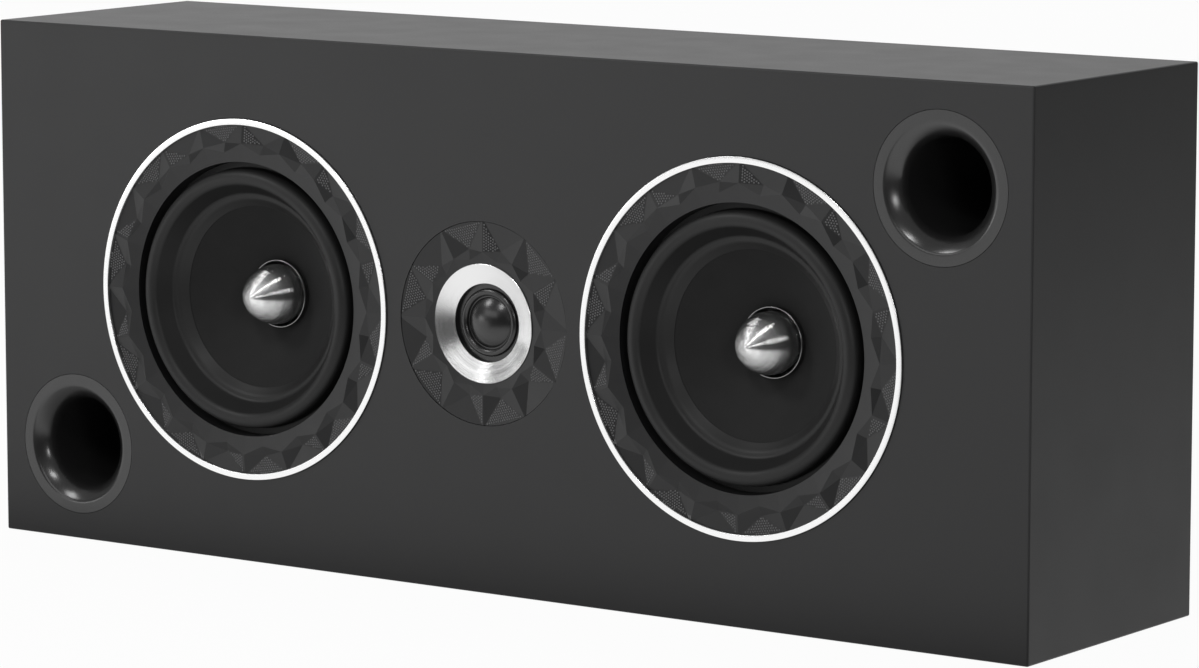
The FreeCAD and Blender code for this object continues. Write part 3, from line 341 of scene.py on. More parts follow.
# %% The finish class
class Finish(Graph):
    """One material: a Principled shader and the nodes that feed it."""

    def __init__(self, name, **sockets):
        self.name = name
        self.material = bpy.data.materials.new(f"{name}_finish")
        self.material.use_nodes = True
        super().__init__(self.material.node_tree)
        self.shader = self.tree.nodes["Principled BSDF"]
        self.place = self.node("ShaderNodeTexCoord", output="Object")
        self.set(**sockets)

    def set(self, **sockets):
        """Sets sockets of the shader: a name such as base_color stands for Base Color."""
        for name, value in sockets.items():
            title = name.replace("_", " ").title().replace("Ior", "IOR")
            self.feed(self.shader.inputs[title], value)

    def noise(self, size, detail=2.0, stretch=(1.0, 1.0, 1.0)):
        """A soft random value from 0 to 1, with features of about that size in metres."""
        place = self.vector("MULTIPLY", self.place, stretch)
        return self.node("ShaderNodeTexNoise", {"Vector": place, "Scale": 1 / size, "Detail": detail})

    def mix(self, share, first, second):
        """A colour between two others; a plain number stands for a grey."""
        inputs = {0: share, 6: colour(first), 7: colour(second)}
        return self.node("ShaderNodeMix", inputs, output=2, data_type="RGBA")

    def relief(self, height, distance, width=0.1):
        """Raises the surface by height, from 0 to 1, times distance in metres; width is in pixels."""
        inputs = {"Height": height, "Distance": distance, "Filter Width": width}
        self.set(normal=self.node("ShaderNodeBump", inputs))


def colour(value):
    if isinstance(value, Wire):
        return value
    red, green, blue = value if isinstance(value, tuple) else (value, value, value)
    return (red, green, blue, 1.0)


FINISHES = {}


def keep(finish):
    FINISHES[finish.name] = finish.material
    return finish


DRIFT_SCALE = 30
FINE_SHARE = 0.6
FINE_GLOSS = 0.10
DRIFT_GLOSS = 0.08


def grained(name, tint, roughness, grain, swing=0.12, rise=0.00002, metallic=0.0, **sockets):
    """A plain finish: a colour that drifts by swing, uneven gloss and a grain of that size."""
    finish = Finish(name, metallic=metallic, **sockets)
    fine = finish.noise(grain, detail=3.0)
    drift = finish.noise(grain * DRIFT_SCALE)
    dark = tuple(part * (1 - swing) for part in tint)
    light = tuple(part * (1 + swing) for part in tint)
    finish.set(base_color=finish.mix(fine * FINE_SHARE + drift * (1 - FINE_SHARE), dark, light))
    finish.set(roughness=(fine - 0.5) * FINE_GLOSS + (drift - 0.5) * DRIFT_GLOSS + roughness)
    finish.relief(fine, rise)
    return keep(finish)


print("finish helpers are ready")

# %% [markdown]
# ### Cabinet, plastics and rubber
# The cabinet is fibreboard in satin black lacquer with a fine orange peel. The faceted trims are moulded
# plastic, a little glossier, so that each facet mirrors its own piece of the studio. The surround is matt
# rubber and the ports are smooth plastic. They differ only in colour, gloss and grain, so one function makes
# them all.

# %% Dark finishes
grained("satin_black_cabinet", (0.0195, 0.0195, 0.020), 0.46, grain=0.0009, rise=0.000012)
grained("facet_plastic", (0.012, 0.012, 0.0125), 0.38, grain=0.0005, rise=0.000004)
# The raised dots get a lighter grey than the facet plastic they are moulded in: a painted highlight for the
# glints they catch.
grained("raised_dots_painted_glint", (0.125, 0.125, 0.127), 0.34, grain=0.0005, rise=0.000004)
grained(
    "surround_rubber", (0.016, 0.016, 0.016), 0.46, grain=0.0007, rise=0.000006, specular_ior_level=0.36
)
grained("port_plastic", (0.018, 0.018, 0.018), 0.22, grain=0.0006, rise=0.000003, specular_ior_level=0.80)
grained("terminal_plastic", (0.020, 0.020, 0.021), 0.42, grain=0.0007, rise=0.000008)
grained("gasket_foam", (0.018, 0.018, 0.018), 0.90, grain=0.0006, rise=0.00008)
grained("black_knob", (0.016, 0.016, 0.017), 0.36, grain=0.0005, rise=0.000004)
grained("red_knob", (0.42, 0.012, 0.012), 0.34, grain=0.0005, rise=0.000004)
print("dark finishes:", len(FINISHES))

# %% [markdown]
# ### Paper and cloth
# The cone is pressed paper pulp with a black coat, so it has short fibres in all directions. The dome is
# woven cloth under a thin damping coat, where the threads just show. The spider is open cloth in resin.
# Pictures of paper and cloth would repeat and blur from close by, so noise draws the fibres and two sine
# waves draw the threads.

# %% Paper and cloth finishes
CLOTH_DRIFT = 12
CLOTH_SWING = 0.2
CLOTH_GLOSS = 0.08
FIBRE_SIZE = 0.0006
FIBRE_RISE = 0.00004
FIBRE_SHARE = 0.6
CLOUD_SIZE = 0.009
PAPER_DARK, PAPER_LIGHT = 0.014, 0.026
PAPER_ROUGHNESS = 0.68
PAPER_GLOSS = 0.2


def woven(name, tint, roughness, thread, rise, **sockets):
    """Cloth whose threads cross along X and Z."""
    finish = Finish(name, **sockets)
    turn = 2 * math.pi / thread
    across = (finish.axis(finish.place, "X") * turn).math("SINE")
    along = (finish.axis(finish.place, "Z") * turn).math("SINE")
    weave = across * along * 0.5 + 0.5
    drift = finish.noise(thread * CLOTH_DRIFT)
    dark, light = tint * (1 - CLOTH_SWING), tint * (1 + CLOTH_SWING)
    finish.set(base_color=finish.mix(weave * 0.5 + drift * 0.5, dark, light))
    finish.set(roughness=(drift - 0.5) * CLOTH_GLOSS + roughness)
    finish.relief(weave, rise)
    return keep(finish)


pulp = Finish("cone_paper", specular_ior_level=0.2)
fibres = pulp.noise(FIBRE_SIZE, detail=5.0, stretch=(1.0, 1.0, 2.2))
clouds = pulp.noise(CLOUD_SIZE, detail=3.0)
pulp.set(
    base_color=pulp.mix(fibres * FIBRE_SHARE + clouds * (1 - FIBRE_SHARE), PAPER_DARK, PAPER_LIGHT)
)
pulp.set(roughness=(fibres - 0.5) * PAPER_GLOSS + PAPER_ROUGHNESS)
pulp.relief(fibres, FIBRE_RISE)
keep(pulp)
woven("dome_cloth", 0.010, 0.25, thread=0.00045, rise=0.000002, specular_ior_level=0.75)
woven("spider_cloth", 0.20, 0.85, thread=0.0009, rise=0.00008)
print("paper and cloth finishes:", len(FINISHES))

# %% [markdown]
# ### Turned metal
# The trim rings, the ring of the tweeter and the phase plugs come off a lathe, and the tool leaves fine
# grooves round the axis. The grooves spread a lamp's mirror image into a fan. Each turned mesh carries the
# distance along its profile as an attribute, so the grooves need no texture map. The bump is measured over a
# step finer than a groove, so that every groove tilts the surface.

# %% Metal finishes
GROOVE_STEP = 0.02
RIDGE_GLOSS = 0.10
METAL_DRIFT = 0.006
METAL_GLOSS = 0.04


def lathed(name, tint, roughness, groove, rise, swing=0.04):
    """Metal with grooves round the axis, at that pitch in metres."""
    finish = Finish(name, metallic=1.0)
    along = finish.node("ShaderNodeAttribute", output="Fac", attribute_name="along")
    ridge = finish.node(
        "ShaderNodeTexNoise",
        {"W": along / groove, "Scale": 1.0, "Detail": 0.0},
        noise_dimensions="1D",
    )
    drift = finish.noise(METAL_DRIFT)
    finish.set(base_color=finish.mix(ridge, tint * (1 - swing), tint))
    finish.set(roughness=(ridge - 0.5) * RIDGE_GLOSS + (drift - 0.5) * METAL_GLOSS + roughness)
    finish.relief(ridge, rise, GROOVE_STEP)
    return keep(finish)


lathed("bright_trim", 0.97, 0.16, groove=0.0004, rise=0.000006)
lathed("plug_metal", 0.92, 0.11, groove=0.00006, rise=0.000034)
lathed("tweeter_metal", 0.86, 0.20, groove=0.00006, rise=0.000010)
lathed("coil_former", 0.30, 0.25, groove=0.0004, rise=0.000010)
grained("chassis_metal", (0.03, 0.03, 0.03), 0.50, grain=0.0008, rise=0.00003)
grained("motor_steel", (0.50, 0.50, 0.51), 0.34, grain=0.0006, metallic=1.0)
grained("screw_steel", (0.06, 0.06, 0.06), 0.38, grain=0.0005, metallic=1.0)
grained("terminal_brass", (0.78, 0.58, 0.26), 0.24, grain=0.0005, metallic=1.0, rise=0.000004)
print("metal finishes:", len(FINISHES))

# %% [markdown]
# ### What is inside
# The pieces behind the panels are dressed too, because the model can be opened: raw board, foam, ferrite,
# and the parts of the crossover.

# %% Inner finishes
grained("bare_fibreboard", (0.36, 0.24, 0.14), 0.85, grain=0.0012, swing=0.25, rise=0.00004)
grained("ferrite", (0.055, 0.056, 0.060), 0.62, grain=0.0010, swing=0.2, rise=0.00003)
grained("damping_foam", (0.05, 0.05, 0.055), 0.95, grain=0.0030, swing=0.4, rise=0.0008)
grained("circuit_board", (0.02, 0.12, 0.05), 0.40, grain=0.0016, swing=0.2)
grained("nylon", (0.62, 0.61, 0.56), 0.45, grain=0.0008)
grained("capacitor_film", (0.50, 0.30, 0.03), 0.30, grain=0.0010)
grained("resistor_cement", (0.62, 0.60, 0.55), 0.90, grain=0.0006, rise=0.00005)
wire_turns = grained("copper_wire", (0.60, 0.26, 0.12), 0.28, grain=0.0006, metallic=1.0)
WIRE_PITCH = 0.0009
WIRE_RISE = 0.0002
turns = (wire_turns.axis(wire_turns.place, "Z") * (2 * math.pi / WIRE_PITCH)).math("SINE")
wire_turns.relief(turns * 0.5 + 0.5, WIRE_RISE)

for subpart in frame["record"]["subparts"]:
    node = frame["nodes"][subpart["node"]]
    for material_slot in node.material_slots:
        material_slot.material = FINISHES[subpart["material_slot"]]
print("finishes:", len(FINISHES), "on", len(frame["nodes"]), "nodes")

# %% [markdown]
# ## Turned pieces
# Most of what shows on the front is round about an axis that points at the listener. A CAD model is cut
# into flat triangles, which shows on bright metal, so these pieces are turned again from their profiles
# with more steps and smooth shading. A profile is a list of points, each a radius and a depth behind the
# baffle's face, and its arcs are worked out from centre, radius and angles.

# %% The lathe
TURN_STEPS = 192
ON_AXIS = 1e-6
SHARP_ANGLE = math.radians(32)


def arc(centre, radius, start, end, steps=12):
    """Points on an arc; 0 degrees points outwards, 90 to the back and -90 to the front."""
    angles = np.radians(np.linspace(start, end, steps + 1))
    return [(centre[0] + radius * math.cos(a), centre[1] + radius * math.sin(a)) for a in angles]


def arc_through(start, end, radius, steps=16):
    """Points on an arc of that radius between two points; a negative radius bends it the other way."""
    first, last = Vector(start), Vector(end)
    chord = last - first
    away = Vector((-chord.y, chord.x)).normalized()
    offset = math.sqrt(radius * radius - chord.length_squared / 4)
    centre = (first + last) / 2 + away * math.copysign(offset, radius)
    begin = math.atan2(first.y - centre.y, first.x - centre.x)
    finish = math.atan2(last.y - centre.y, last.x - centre.x)
    sweep = (finish - begin + math.pi) % (2 * math.pi) - math.pi
    angles = [begin + sweep * step / steps for step in range(steps + 1)]
    return [(centre.x + abs(radius) * math.cos(a), centre.y + abs(radius) * math.sin(a)) for a in angles]


def turned(name, profile, centre, slot, finish=None):
    """Turns a closed profile about the line along Y through centre, an (x, z) pair."""
    angles = np.linspace(0, 2 * math.pi, TURN_STEPS, endpoint=False)
    steps = [math.dist(a, b) for a, b in zip(profile, profile[1:])]
    travelled = np.concatenate([[0.0], np.cumsum(steps)])
    work = bmesh.new()
    along = work.verts.layers.float.new("along")
    rings = []
    for (radius, depth), distance in zip(profile, travelled):
        turns = angles if radius > ON_AXIS else angles[:1]
        ring = []
        for a in turns:
            x = centre[0] + radius * math.cos(a)
            z = centre[1] + radius * math.sin(a)
            vertex = work.verts.new((x, FRONT + depth, z))
            vertex[along] = distance
            ring.append(vertex)
        rings.append(ring)
    pairs = list(zip(rings, rings[1:]))
    if len(rings[0]) > 1:
        pairs.append((rings[-1], rings[0]))
    for near, far in pairs:
        for step in range(TURN_STEPS):
            after = (step + 1) % TURN_STEPS
            loop = [near[step % len(near)], near[after % len(near)]]
            loop += [far[after % len(far)], far[step % len(far)]]
            work.faces.new(list(dict.fromkeys(loop)))
    bmesh.ops.recalc_face_normals(work, faces=work.faces)
    mesh = bpy.data.meshes.new(name)
    work.to_mesh(mesh)
    work.free()
    mesh.shade_smooth()
    mesh.set_sharp_from_angle(angle=SHARP_ANGLE)
    mesh.materials.append(finish or FINISHES[slot])
    piece = bpy.data.objects.new(name, mesh)
    scene.collection.objects.link(piece)
    return piece


print("lathe: pieces have", TURN_STEPS, "steps round")

# %% [markdown]
# ### Trim rings
# A bright ring stands proud of the baffle round each woofer, with softened edges that catch the light. A
# bevel on the CAD ring would soften them too, but its flat steps would show in the metal, so it is turned.

# %% Trim rings
TRIM_WIDTH = 0.0031
TRIM_ROUND = 0.0002

centres = {side: (middle(f"{side}_trim_ring").x, middle(f"{side}_trim_ring").z) for side in SIDES}


def trim_ring(side):
    outer = reach(f"{side}_trim_ring")
    inner = outer - TRIM_WIDTH
    front, back = depths(f"{side}_trim_ring")
    crown = front + TRIM_ROUND
    profile = [(inner, back)]
    profile += arc((inner + TRIM_ROUND, crown), TRIM_ROUND, 180, 270, steps=6)
    profile += arc((outer - TRIM_ROUND, crown), TRIM_ROUND, 270, 360, steps=6)
    profile += [(outer, back)]
    ring = turned(f"{side}_trim", profile, centres[side], "bright_trim")
    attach(ring, "cabinet")
    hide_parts(f"{side}_trim_ring")
    return ring


for side in SIDES:
    print("trim ring:", trim_ring(side).name, "radius", round(reach(f"{side}_trim_ring"), 4))

# %% [markdown]
# ### Surrounds
# The rubber roll lets the cone move. Its outer lip is glued to the chassis and its inner lip to the cone,
# with a round crest and a straight slope between them.

# %% Surrounds
CONE_RADIUS = 0.054
CONE_RIM = 0.0035
CONE_CURVE = 0.120
NECK_LENGTH = 0.0016
FORMER_OUT = 0.0176
ROLL_SPAN = 0.0124
ROLL_RADIUS = 0.0044
ROLL_SLOPE = 61
ROLL_LEG = 0.0064
SURROUND_THICK = 0.001
OUTER_FILLET = 0.001
LIP_EDGE = 0.0003
LIP_INNER = 0.0465
LIP_FILLET = 0.003


def bend_by_radius(piece):
    """Bakes the piece's placement into its mesh and reads the places of its vertices."""
    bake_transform(piece)
    places = np.empty(len(piece.data.vertices) * 3, np.float32)
    piece.data.vertices.foreach_get("co", places)
    places = places.reshape(-1, 3)


def cone_face(side):
    """The front of a cone, from its rim to its neck."""
    front, back = depths(f"{side}_cone")
    shoulder = (CONE_RADIUS - CONE_RIM, front)
    return arc_through(shoulder, (FORMER_OUT, back - NECK_LENGTH), CONE_CURVE, steps=40)


def surround(side):
    outer = reach(f"{side}_surround")
    back = depths(f"{side}_surround")[1]
    face = back - SURROUND_THICK
    roll_out = CONE_RADIUS + ROLL_SPAN
    roll = (roll_out - ROLL_RADIUS, face - ROLL_LEG)
    small = ROLL_RADIUS - SURROUND_THICK
    fall = math.tan(math.radians(ROLL_SLOPE))
    crest = arc(roll, ROLL_RADIUS, 270 - ROLL_SLOPE, 360, steps=28)
    under = arc(roll, small, 0, -90 - ROLL_SLOPE, steps=24)
    foot = crest[0][0] - (face - crest[0][1]) / fall
    under_foot = under[-1][0] - (back - under[-1][1]) / fall
    tangent = LIP_FILLET * math.tan(math.radians(ROLL_SLOPE) / 2)
    glued = [point for point in cone_face(side) if point[0] > LIP_INNER]
    profile = [(radius, depth - LIP_EDGE) for radius, depth in reversed(glued)]
    profile += arc((foot - tangent, face - LIP_FILLET), LIP_FILLET, 90, 90 - ROLL_SLOPE, steps=6) + crest
    profile += arc((roll_out + OUTER_FILLET, face - OUTER_FILLET), OUTER_FILLET, 180, 90, steps=5)
    profile += [(outer, face), (outer, back), (roll[0] + small, back)] + under + [(under_foot, back)]
    profile += glued
    piece = turned(f"{side}_roll", profile, centres[side], "surround_rubber")
    bend_by_radius(piece)
    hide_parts(f"{side}_surround")
    return piece


for side in SIDES:
    print("surround:", surround(side).name)

# %% [markdown]
# ### Cones and formers
# The paper cone is gently flared. Its neck is glued to the voice coil's former, whose bright edge shows as
# a thin line. A loft between circles would also give a cone, but one arc for its front and one for its back
# keep the wall thin and even.

# %% Cones and formers
CONE_THICK = 0.001
FORMER_THICK = 0.0007
WINDING_LENGTH = 0.012


def cone(side):
    front, back = depths(f"{side}_cone")
    shoulder = CONE_RADIUS - CONE_RIM
    profile = [(CONE_RADIUS, front)] + cone_face(side)
    edge = (shoulder - CONE_THICK / 2, front + CONE_THICK)
    profile += arc_through((FORMER_OUT, back), edge, -(CONE_CURVE - CONE_THICK), steps=24)
    profile += [(CONE_RADIUS, front + CONE_THICK)]
    piece = turned(f"{side}_paper_cone", profile, centres[side], "cone_paper")
    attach(piece, f"{side}_diaphragm")
    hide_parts(f"{side}_cone")
    return piece


def former(side):
    front, back = depths(f"{side}_voice_coil")
    inner = FORMER_OUT - FORMER_THICK
    winding = reach(f"{side}_voice_coil")
    start = back - WINDING_LENGTH
    edge = FORMER_THICK / 2
    profile = [(inner, back)] + arc((inner + edge, front + edge), edge, 180, 360, steps=8)
    profile += [(FORMER_OUT, start), (winding, start), (winding, back)]
    piece = turned(f"{side}_former", profile, centres[side], "coil_former")
    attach(piece, f"{side}_diaphragm")
    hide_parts(f"{side}_voice_coil")
    return piece


for side in SIDES:
    print("moving pieces:", cone(side).name, former(side).name)

# %% [markdown]
# ### Spiders
# Behind each cone, a pleated ring of cloth keeps the voice coil in the middle of its gap. It can't be seen
# from outside, but it joins the coil to the chassis. The pleats are a sine wave over the radius.

# %% Spiders
SPIDER_THICK = 0.0008
SPIDER_WAVE = 0.0015
SPIDER_FOLDS = 5
SPIDER_LAND = 0.005
SPIDER_STEPS = 60


def spider(side):
    outer = reach(f"{side}_spider")
    flat = (sum(depths(f"{side}_spider")) - SPIDER_THICK) / 2
    start = FORMER_OUT + SPIDER_LAND / 2
    end = outer - SPIDER_LAND
    face = [(FORMER_OUT, flat)]
    for share in np.linspace(0, 1, SPIDER_STEPS + 1):
        shift = SPIDER_WAVE * math.sin(2 * math.pi * SPIDER_FOLDS * share)
        face.append((start + (end - start) * share, flat + shift))
    face.append((outer, flat))
    profile = face + [(radius, depth + SPIDER_THICK) for radius, depth in reversed(face)]
    piece = turned(f"{side}_pleated_spider", profile, centres[side], "spider_cloth")
    bend_by_radius(piece)
    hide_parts(f"{side}_spider")
    return piece


for side in SIDES:
    print("spider:", spider(side).name, "with", SPIDER_FOLDS, "pleats")

# %% [markdown]
# ### Phase plugs
# The phase plug is a metal bullet on the magnet's pole, in the middle of the cone, and it doesn't move. Its
# profile is two arcs, a small nose and a long side, that meet without a corner, because turned metal shows
# every kink as a break in its streaks.

# %% Phase plugs
PLUG_CURVE = 0.0215
PLUG_NOSE = 0.003
PLUG_STUD = 0.004
STUD_LENGTH = 0.014


def phase_plug(side):
    tip, end = depths(f"{side}_phase_plug")
    radius = reach(f"{side}_phase_plug")
    shoulder = end - STUD_LENGTH
    swing = PLUG_CURVE - PLUG_NOSE
    lean = math.degrees(math.acos((PLUG_CURVE - radius) / swing))
    base = tip + PLUG_NOSE + swing * math.sin(math.radians(lean))
    profile = arc((0.0, tip + PLUG_NOSE), PLUG_NOSE, -90, -lean, steps=12)
    profile += arc((radius - PLUG_CURVE, base), PLUG_CURVE, -lean, 0, steps=24)[1:]
    profile += [(radius, shoulder), (PLUG_STUD, shoulder), (PLUG_STUD, end), (0.0, end)]
    profile[0] = (0.0, tip)
    piece = turned(f"{side}_plug", profile, centres[side], "plug_metal")
    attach(piece, "cabinet")
    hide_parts(f"{side}_phase_plug")
    return piece


for side in SIDES:
    print("phase plug:", phase_plug(side).name)

# %% [markdown]
# ### Tweeter
# A bright conical ring leads out from the dome. The dome and its narrow roll are formed from one piece of
# cloth, with a shallow groove between them where the voice coil is glued on. They could be two pieces, but
# one profile keeps the groove a clean line.

# %% Tweeter ring and dome
RING_WIDTH = 0.01005
RING_LIP = 0.0005
RING_ROUND = 0.0002
DOME_RADIUS = 0.0126
DOME_HEIGHT = 0.0046
DOME_THICK = 0.0004
DOME_GROOVE = 0.0006
DOME_ROLL = 0.0019

tweeter_centre = (middle("tweeter_dome").x, middle("tweeter_dome").z)


def tweeter_ring():
    outer = reach("tweeter_waveguide_ring")
    front, back = depths("tweeter_waveguide_ring")
    inner = outer - RING_WIDTH
    profile = [(inner, back), (inner, back - RING_LIP)]
    profile += [(outer - RING_ROUND, front + RING_ROUND / 4), (outer, front + RING_ROUND), (outer, back)]
    piece = turned("tweeter_ring", profile, tweeter_centre, "bright_trim", FINISHES["tweeter_metal"])
    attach(piece, "cabinet")
    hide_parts("tweeter_waveguide_ring")
    return piece


def dome():
    apex, back = depths("tweeter_dome")
    outer = reach("tweeter_dome")
    base = back - DOME_THICK
    curve = (DOME_RADIUS**2 + DOME_HEIGHT**2) / (2 * DOME_HEIGHT)
    half = math.degrees(math.asin(DOME_RADIUS / curve))
    roll = (DOME_RADIUS + DOME_GROOVE + DOME_ROLL, base)
    small = DOME_ROLL - DOME_THICK
    inside = curve - DOME_THICK
    inner = math.degrees(math.acos((curve - DOME_HEIGHT) / inside))
    profile = arc((0.0, apex + curve), curve, -90, half - 90, steps=28)
    profile += arc(roll, DOME_ROLL, 180, 360, steps=20)
    profile += [(outer, base), (outer, back)]
    profile += [(roll[0] + small, back)]
    profile += arc(roll, small, 0, -180, steps=16) + [(roll[0] - small, back)]
    edge = arc((0.0, apex + curve), inside, inner - 90, -90, steps=24)
    profile += [(edge[0][0], back)] + edge
    profile[0] = (0.0, apex)
    profile[-1] = (0.0, apex + DOME_THICK)
    piece = turned("soft_dome", profile, tweeter_centre, "dome_cloth")
    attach(piece, "cabinet")
    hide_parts("tweeter_dome")
    return piece


print("tweeter:", tweeter_ring().name, dome().name, "radius", round(reach("tweeter_dome"), 4))

# %% [markdown]
# ### Ports
# Each bass port is a tube with a flared mouth, let in flush with the baffle. The flare turns down at a small
# round lip, falls along a long slope and turns into the tube in a wider round, so that the air leaves it
# without noise. Each of the three is an arc, written as a radius and its first and last slope in degrees, and
# starts at the slope where the one before it ends.

# %% Ports
PORT_THROAT = 0.0232
PORT_ARCS = ((0.004, 0, 32), (0.020, 32, 48), (0.009, 48, 90))
PORT_TUBE = 0.0265
PORT_TUBE_FRONT = 0.009
PORT_BODY = 0.0298
PORT_FLANGE = 0.003
PORT_STEPS = 14


def flare(front):
    """The profile of a port's mouth, from its rim to its throat."""
    radius = PORT_THROAT
    for bend, first, last in PORT_ARCS:
        radius += bend * (math.sin(math.radians(last)) - math.sin(math.radians(first)))
    points = [(radius, front)]
    for bend, first, last in PORT_ARCS:
        lean = math.radians(first)
        radius, depth = points[-1]
        centre = (radius + bend * math.sin(lean), depth + bend * math.cos(lean))
        points += arc(centre, bend, 270 - first, 270 - last, PORT_STEPS)[1:]
    return points


def port(side):
    outer = reach(f"{side}_port")
    front, back = depths(f"{side}_port")
    centre = (middle(f"{side}_port").x, middle(f"{side}_port").z)
    profile = [(PORT_TUBE, back), (PORT_THROAT, back)] + flare(front)[::-1]
    profile += [(outer, front), (outer, PORT_FLANGE), (PORT_BODY, PORT_FLANGE)]
    profile.append((PORT_TUBE, PORT_TUBE_FRONT))
    piece = turned(f"{side}_flared_port", profile, centre, "port_plastic")
    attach(piece, "cabinet")
    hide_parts(f"{side}_port")
    return piece


for side in SIDES:
    print("port:", port(side).name)

# %% [markdown]
# ## Dots on the facets
# Some facets of the trims carry a fine field of raised dots. The ring repeats in equal cells, so one dotted
# facet is made on a grid, cut to the facet's outline, and turned round the axis to every second cell.
# Geometry Nodes suit this: the grid, the cut and the turning are a few nodes each, and the sizes are inputs.

# %% The tree of a dotted facet
DOT_SIDES = 8
DOT_RINGS = 4
ROW_SHARE = math.sqrt(3) / 2

dots_tree = bpy.data.node_groups.new("dotted facets", "GeometryNodeTree")
DOT_INPUTS = {
    "First Corner": "NodeSocketVector",
    "Second Corner": "NodeSocketVector",
    "Third Corner": "NodeSocketVector",
    "Centre": "NodeSocketVector",
    "Rim": "NodeSocketFloat",
    "Pitch": "NodeSocketFloat",
    "Dot Radius": "NodeSocketFloat",
    "Dot Height": "NodeSocketFloat",
    "Edge": "NodeSocketFloat",
    "Rows": "NodeSocketInt",
    "Copies": "NodeSocketInt",
    "First Angle": "NodeSocketFloat",
    "Step Angle": "NodeSocketFloat",
    "Finish": "NodeSocketMaterial",
}
identifiers = {}
for title, kind in DOT_INPUTS.items():
    socket = dots_tree.interface.new_socket(title, in_out="INPUT", socket_type=kind)
    identifiers[title] = socket.identifier
dots_tree.interface.new_socket("Geometry", in_out="OUTPUT", socket_type="NodeSocketGeometry")

dots = Graph(dots_tree)
entry = dots_tree.nodes.new("NodeGroupInput")
given = {title: Wire(dots, entry.outputs[title]) for title in DOT_INPUTS}
first, second, third = given["First Corner"], given["Second Corner"], given["Third Corner"]
side_one = dots.vector("SUBTRACT", second, first)
side_two = dots.vector("SUBTRACT", third, first)
normal = dots.vector("NORMALIZE", dots.vector("CROSS_PRODUCT", side_one, side_two))
right = dots.vector("NORMALIZE", side_one)
up = dots.vector("CROSS_PRODUCT", normal, right)
facet_middle = dots.scaled(dots.vector("ADD", dots.vector("ADD", first, second), third), 1 / 3)

spot = dots.node("GeometryNodeInputPosition")
span = given["Pitch"] * (given["Rows"] - 1)
grid_sizes = {"Size X": span, "Size Y": span, "Vertices X": given["Rows"], "Vertices Y": given["Rows"]}
grid = dots.node("GeometryNodeMeshGrid", grid_sizes)
row = (dots.axis(spot, "Y") / given["Pitch"]).math("ROUND")
shift = dots.axis(spot, "X") + row.math("FLOORED_MODULO", 2.0) * given["Pitch"] * 0.5
rise = row * given["Pitch"] * ROW_SHARE
on_facet = dots.vector("ADD", dots.scaled(right, shift), dots.scaled(up, rise))
laid = dots.node(
    "GeometryNodeSetPosition", {"Geometry": grid, "Position": dots.vector("ADD", facet_middle, on_facet)}
)

room = given["Rim"] - dots.vector("LENGTH", dots.vector("MULTIPLY", spot, (1.0, 0.0, 1.0)), output="Value")
for start, end in ((first, second), (second, third), (third, first)):
    along_edge = dots.vector("NORMALIZE", dots.vector("SUBTRACT", end, start))
    inwards = dots.vector("CROSS_PRODUCT", normal, along_edge)
    inside = dots.vector("DOT_PRODUCT", dots.vector("SUBTRACT", spot, start), inwards, output="Value")
    room = room.math("MINIMUM", inside)
outside = room.math("LESS_THAN", given["Edge"])
field = dots.node("GeometryNodeDeleteGeometry", {"Geometry": laid, "Selection": outside}, domain="POINT")

bead = dots.node(
    "GeometryNodeMeshUVSphere", {"Segments": DOT_SIDES, "Rings": DOT_RINGS, "Radius": given["Dot Radius"]}
)
flat = dots.node("ShaderNodeCombineXYZ", {"X": 1.0, "Y": 1.0, "Z": given["Dot Height"] / given["Dot Radius"]})
stand = dots.node("FunctionNodeAlignRotationToVector", {"Vector": normal}, axis="Z")
patch = dots.node(
    "GeometryNodeInstanceOnPoints", {"Points": field, "Instance": bead, "Rotation": stand, "Scale": flat}
)

places = dots.node("GeometryNodeMeshLine", {"Count": given["Copies"], "Offset": (0.0, 0.0, 0.0)})
angle = given["First Angle"] + given["Step Angle"] * dots.node("GeometryNodeInputIndex")
about = dots.node("FunctionNodeAxisAngleToRotation", {"Axis": (0.0, -1.0, 0.0), "Angle": angle})
copies = dots.node("GeometryNodeInstanceOnPoints", {"Points": places, "Instance": patch, "Rotation": about})
moved = dots.node("GeometryNodeTransform", {"Geometry": copies, "Translation": given["Centre"]})
solid = dots.node("GeometryNodeRealizeInstances", {"Geometry": moved})
rounded = dots.node("GeometryNodeSetShadeSmooth", {"Geometry": solid})
dressed = dots.node("GeometryNodeSetMaterial", {"Geometry": rounded, "Material": given["Finish"]})
leave = dots_tree.nodes.new("NodeGroupOutput")
dots.feed(leave.inputs["Geometry"], dressed)
print("dotted facet tree:", len(dots_tree.nodes), "nodes")

# %% [markdown]
# The corners of a facet follow the trim's own rule: a rim, hollows, crests and tips, each on a circle at
# its own depth, with the hollows and tips half a cell on from the rim and the crests.

# %% Dotted trims
DOT_PITCH = 0.00140
DOT_RADIUS = 0.00052
DOT_HEIGHT = 0.00030
DOT_EDGE = 0.0005
DOT_ROWS = 26

WOOFER_FACETS = {
    "cells": 20,
    "rim": (0.090565, 0.0005),
    "hollow": (0.08045, 0.0022),
    "crest": (0.07995, -0.0005),
    "tip": (0.07545, 0.0004),
}
TWEETER_FACETS = {
    "cells": 12,
    "rim": (0.052385, 0.0002),
    "hollow": (0.0376, 0.0022),
    "crest": (0.0356, 0.0001),
    "tip": (0.0321, 0.0006),
}


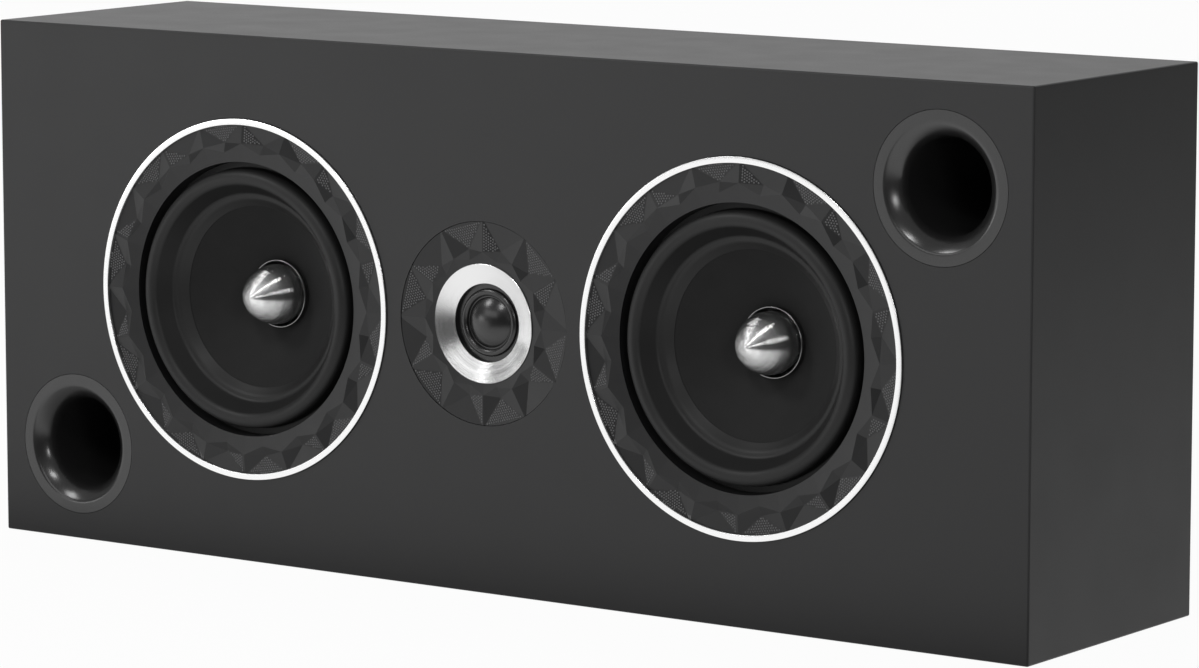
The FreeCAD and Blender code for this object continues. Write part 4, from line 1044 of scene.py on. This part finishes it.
def ring_point(facets, name, step):
    """A corner of the trim, in its own frame, at a step round it in cells."""
    radius, depth = facets[name]
    turn = 2 * math.pi / facets["cells"] * step
    return (radius * math.cos(turn), depth, radius * math.sin(turn))


def dotted(name, facets, corners, rim, centre, first_cell):
    """Dots on one facet of every second cell; corners holds a circle's name and a step for each corner."""
    host = bpy.data.objects.new(name, bpy.data.meshes.new(name))
    scene.collection.objects.link(host)
    modifier = host.modifiers.new("dots", "NODES")
    modifier.node_group = dots_tree
    cell_angle = 2 * math.pi / facets["cells"]
    points = [ring_point(facets, circle, step) for circle, step in corners]
    values = {
        "First Corner": points[0],
        "Second Corner": points[1],
        "Third Corner": points[2],
        "Centre": (centre[0], FRONT, centre[1]),
        "Rim": rim,
        "Pitch": DOT_PITCH,
        "Dot Radius": DOT_RADIUS,
        "Dot Height": DOT_HEIGHT,
        "Edge": DOT_EDGE,
        "Rows": DOT_ROWS,
        "Copies": facets["cells"] // 2,
        "First Angle": cell_angle * first_cell,
        "Step Angle": cell_angle * 2,
        # The dots' finish carries a painted highlight in its lighter grey.
        "Finish": FINISHES["raised_dots_painted_glint"],
    }
    for title, value in values.items():
        modifier[identifiers[title]] = value
    bpy.context.view_layer.update()
    graph = bpy.context.evaluated_depsgraph_get()
    mesh = bpy.data.meshes.new_from_object(host.evaluated_get(graph))
    bpy.data.objects.remove(host)
    piece = bpy.data.objects.new(name, mesh)
    scene.collection.objects.link(piece)
    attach(piece, "cabinet")
    return piece


FLANK = (("rim", 1.0), ("crest", 1.0), ("hollow", 0.5))
CROWN = (("rim", 0.0), ("rim", 1.0), ("hollow", 0.5))
for side in SIDES:
    rim = reach(f"{side}_trim_ring") - TRIM_WIDTH
    for title, corners, first_cell in (("flank", FLANK, 0), ("crown", CROWN, 1)):
        piece = dotted(f"{side}_{title}_dots", WOOFER_FACETS, corners, rim, centres[side], first_cell)
        print("dots:", piece.name, len(piece.data.polygons), "faces")
for title, corners, first_cell in (("flank", FLANK, 0), ("crown", CROWN, 1)):
    rim = reach("tweeter_facet_plate")
    piece = dotted(f"tweeter_{title}_dots", TWEETER_FACETS, corners, rim, tweeter_centre, first_cell)
    print("dots:", piece.name, len(piece.data.polygons), "faces")
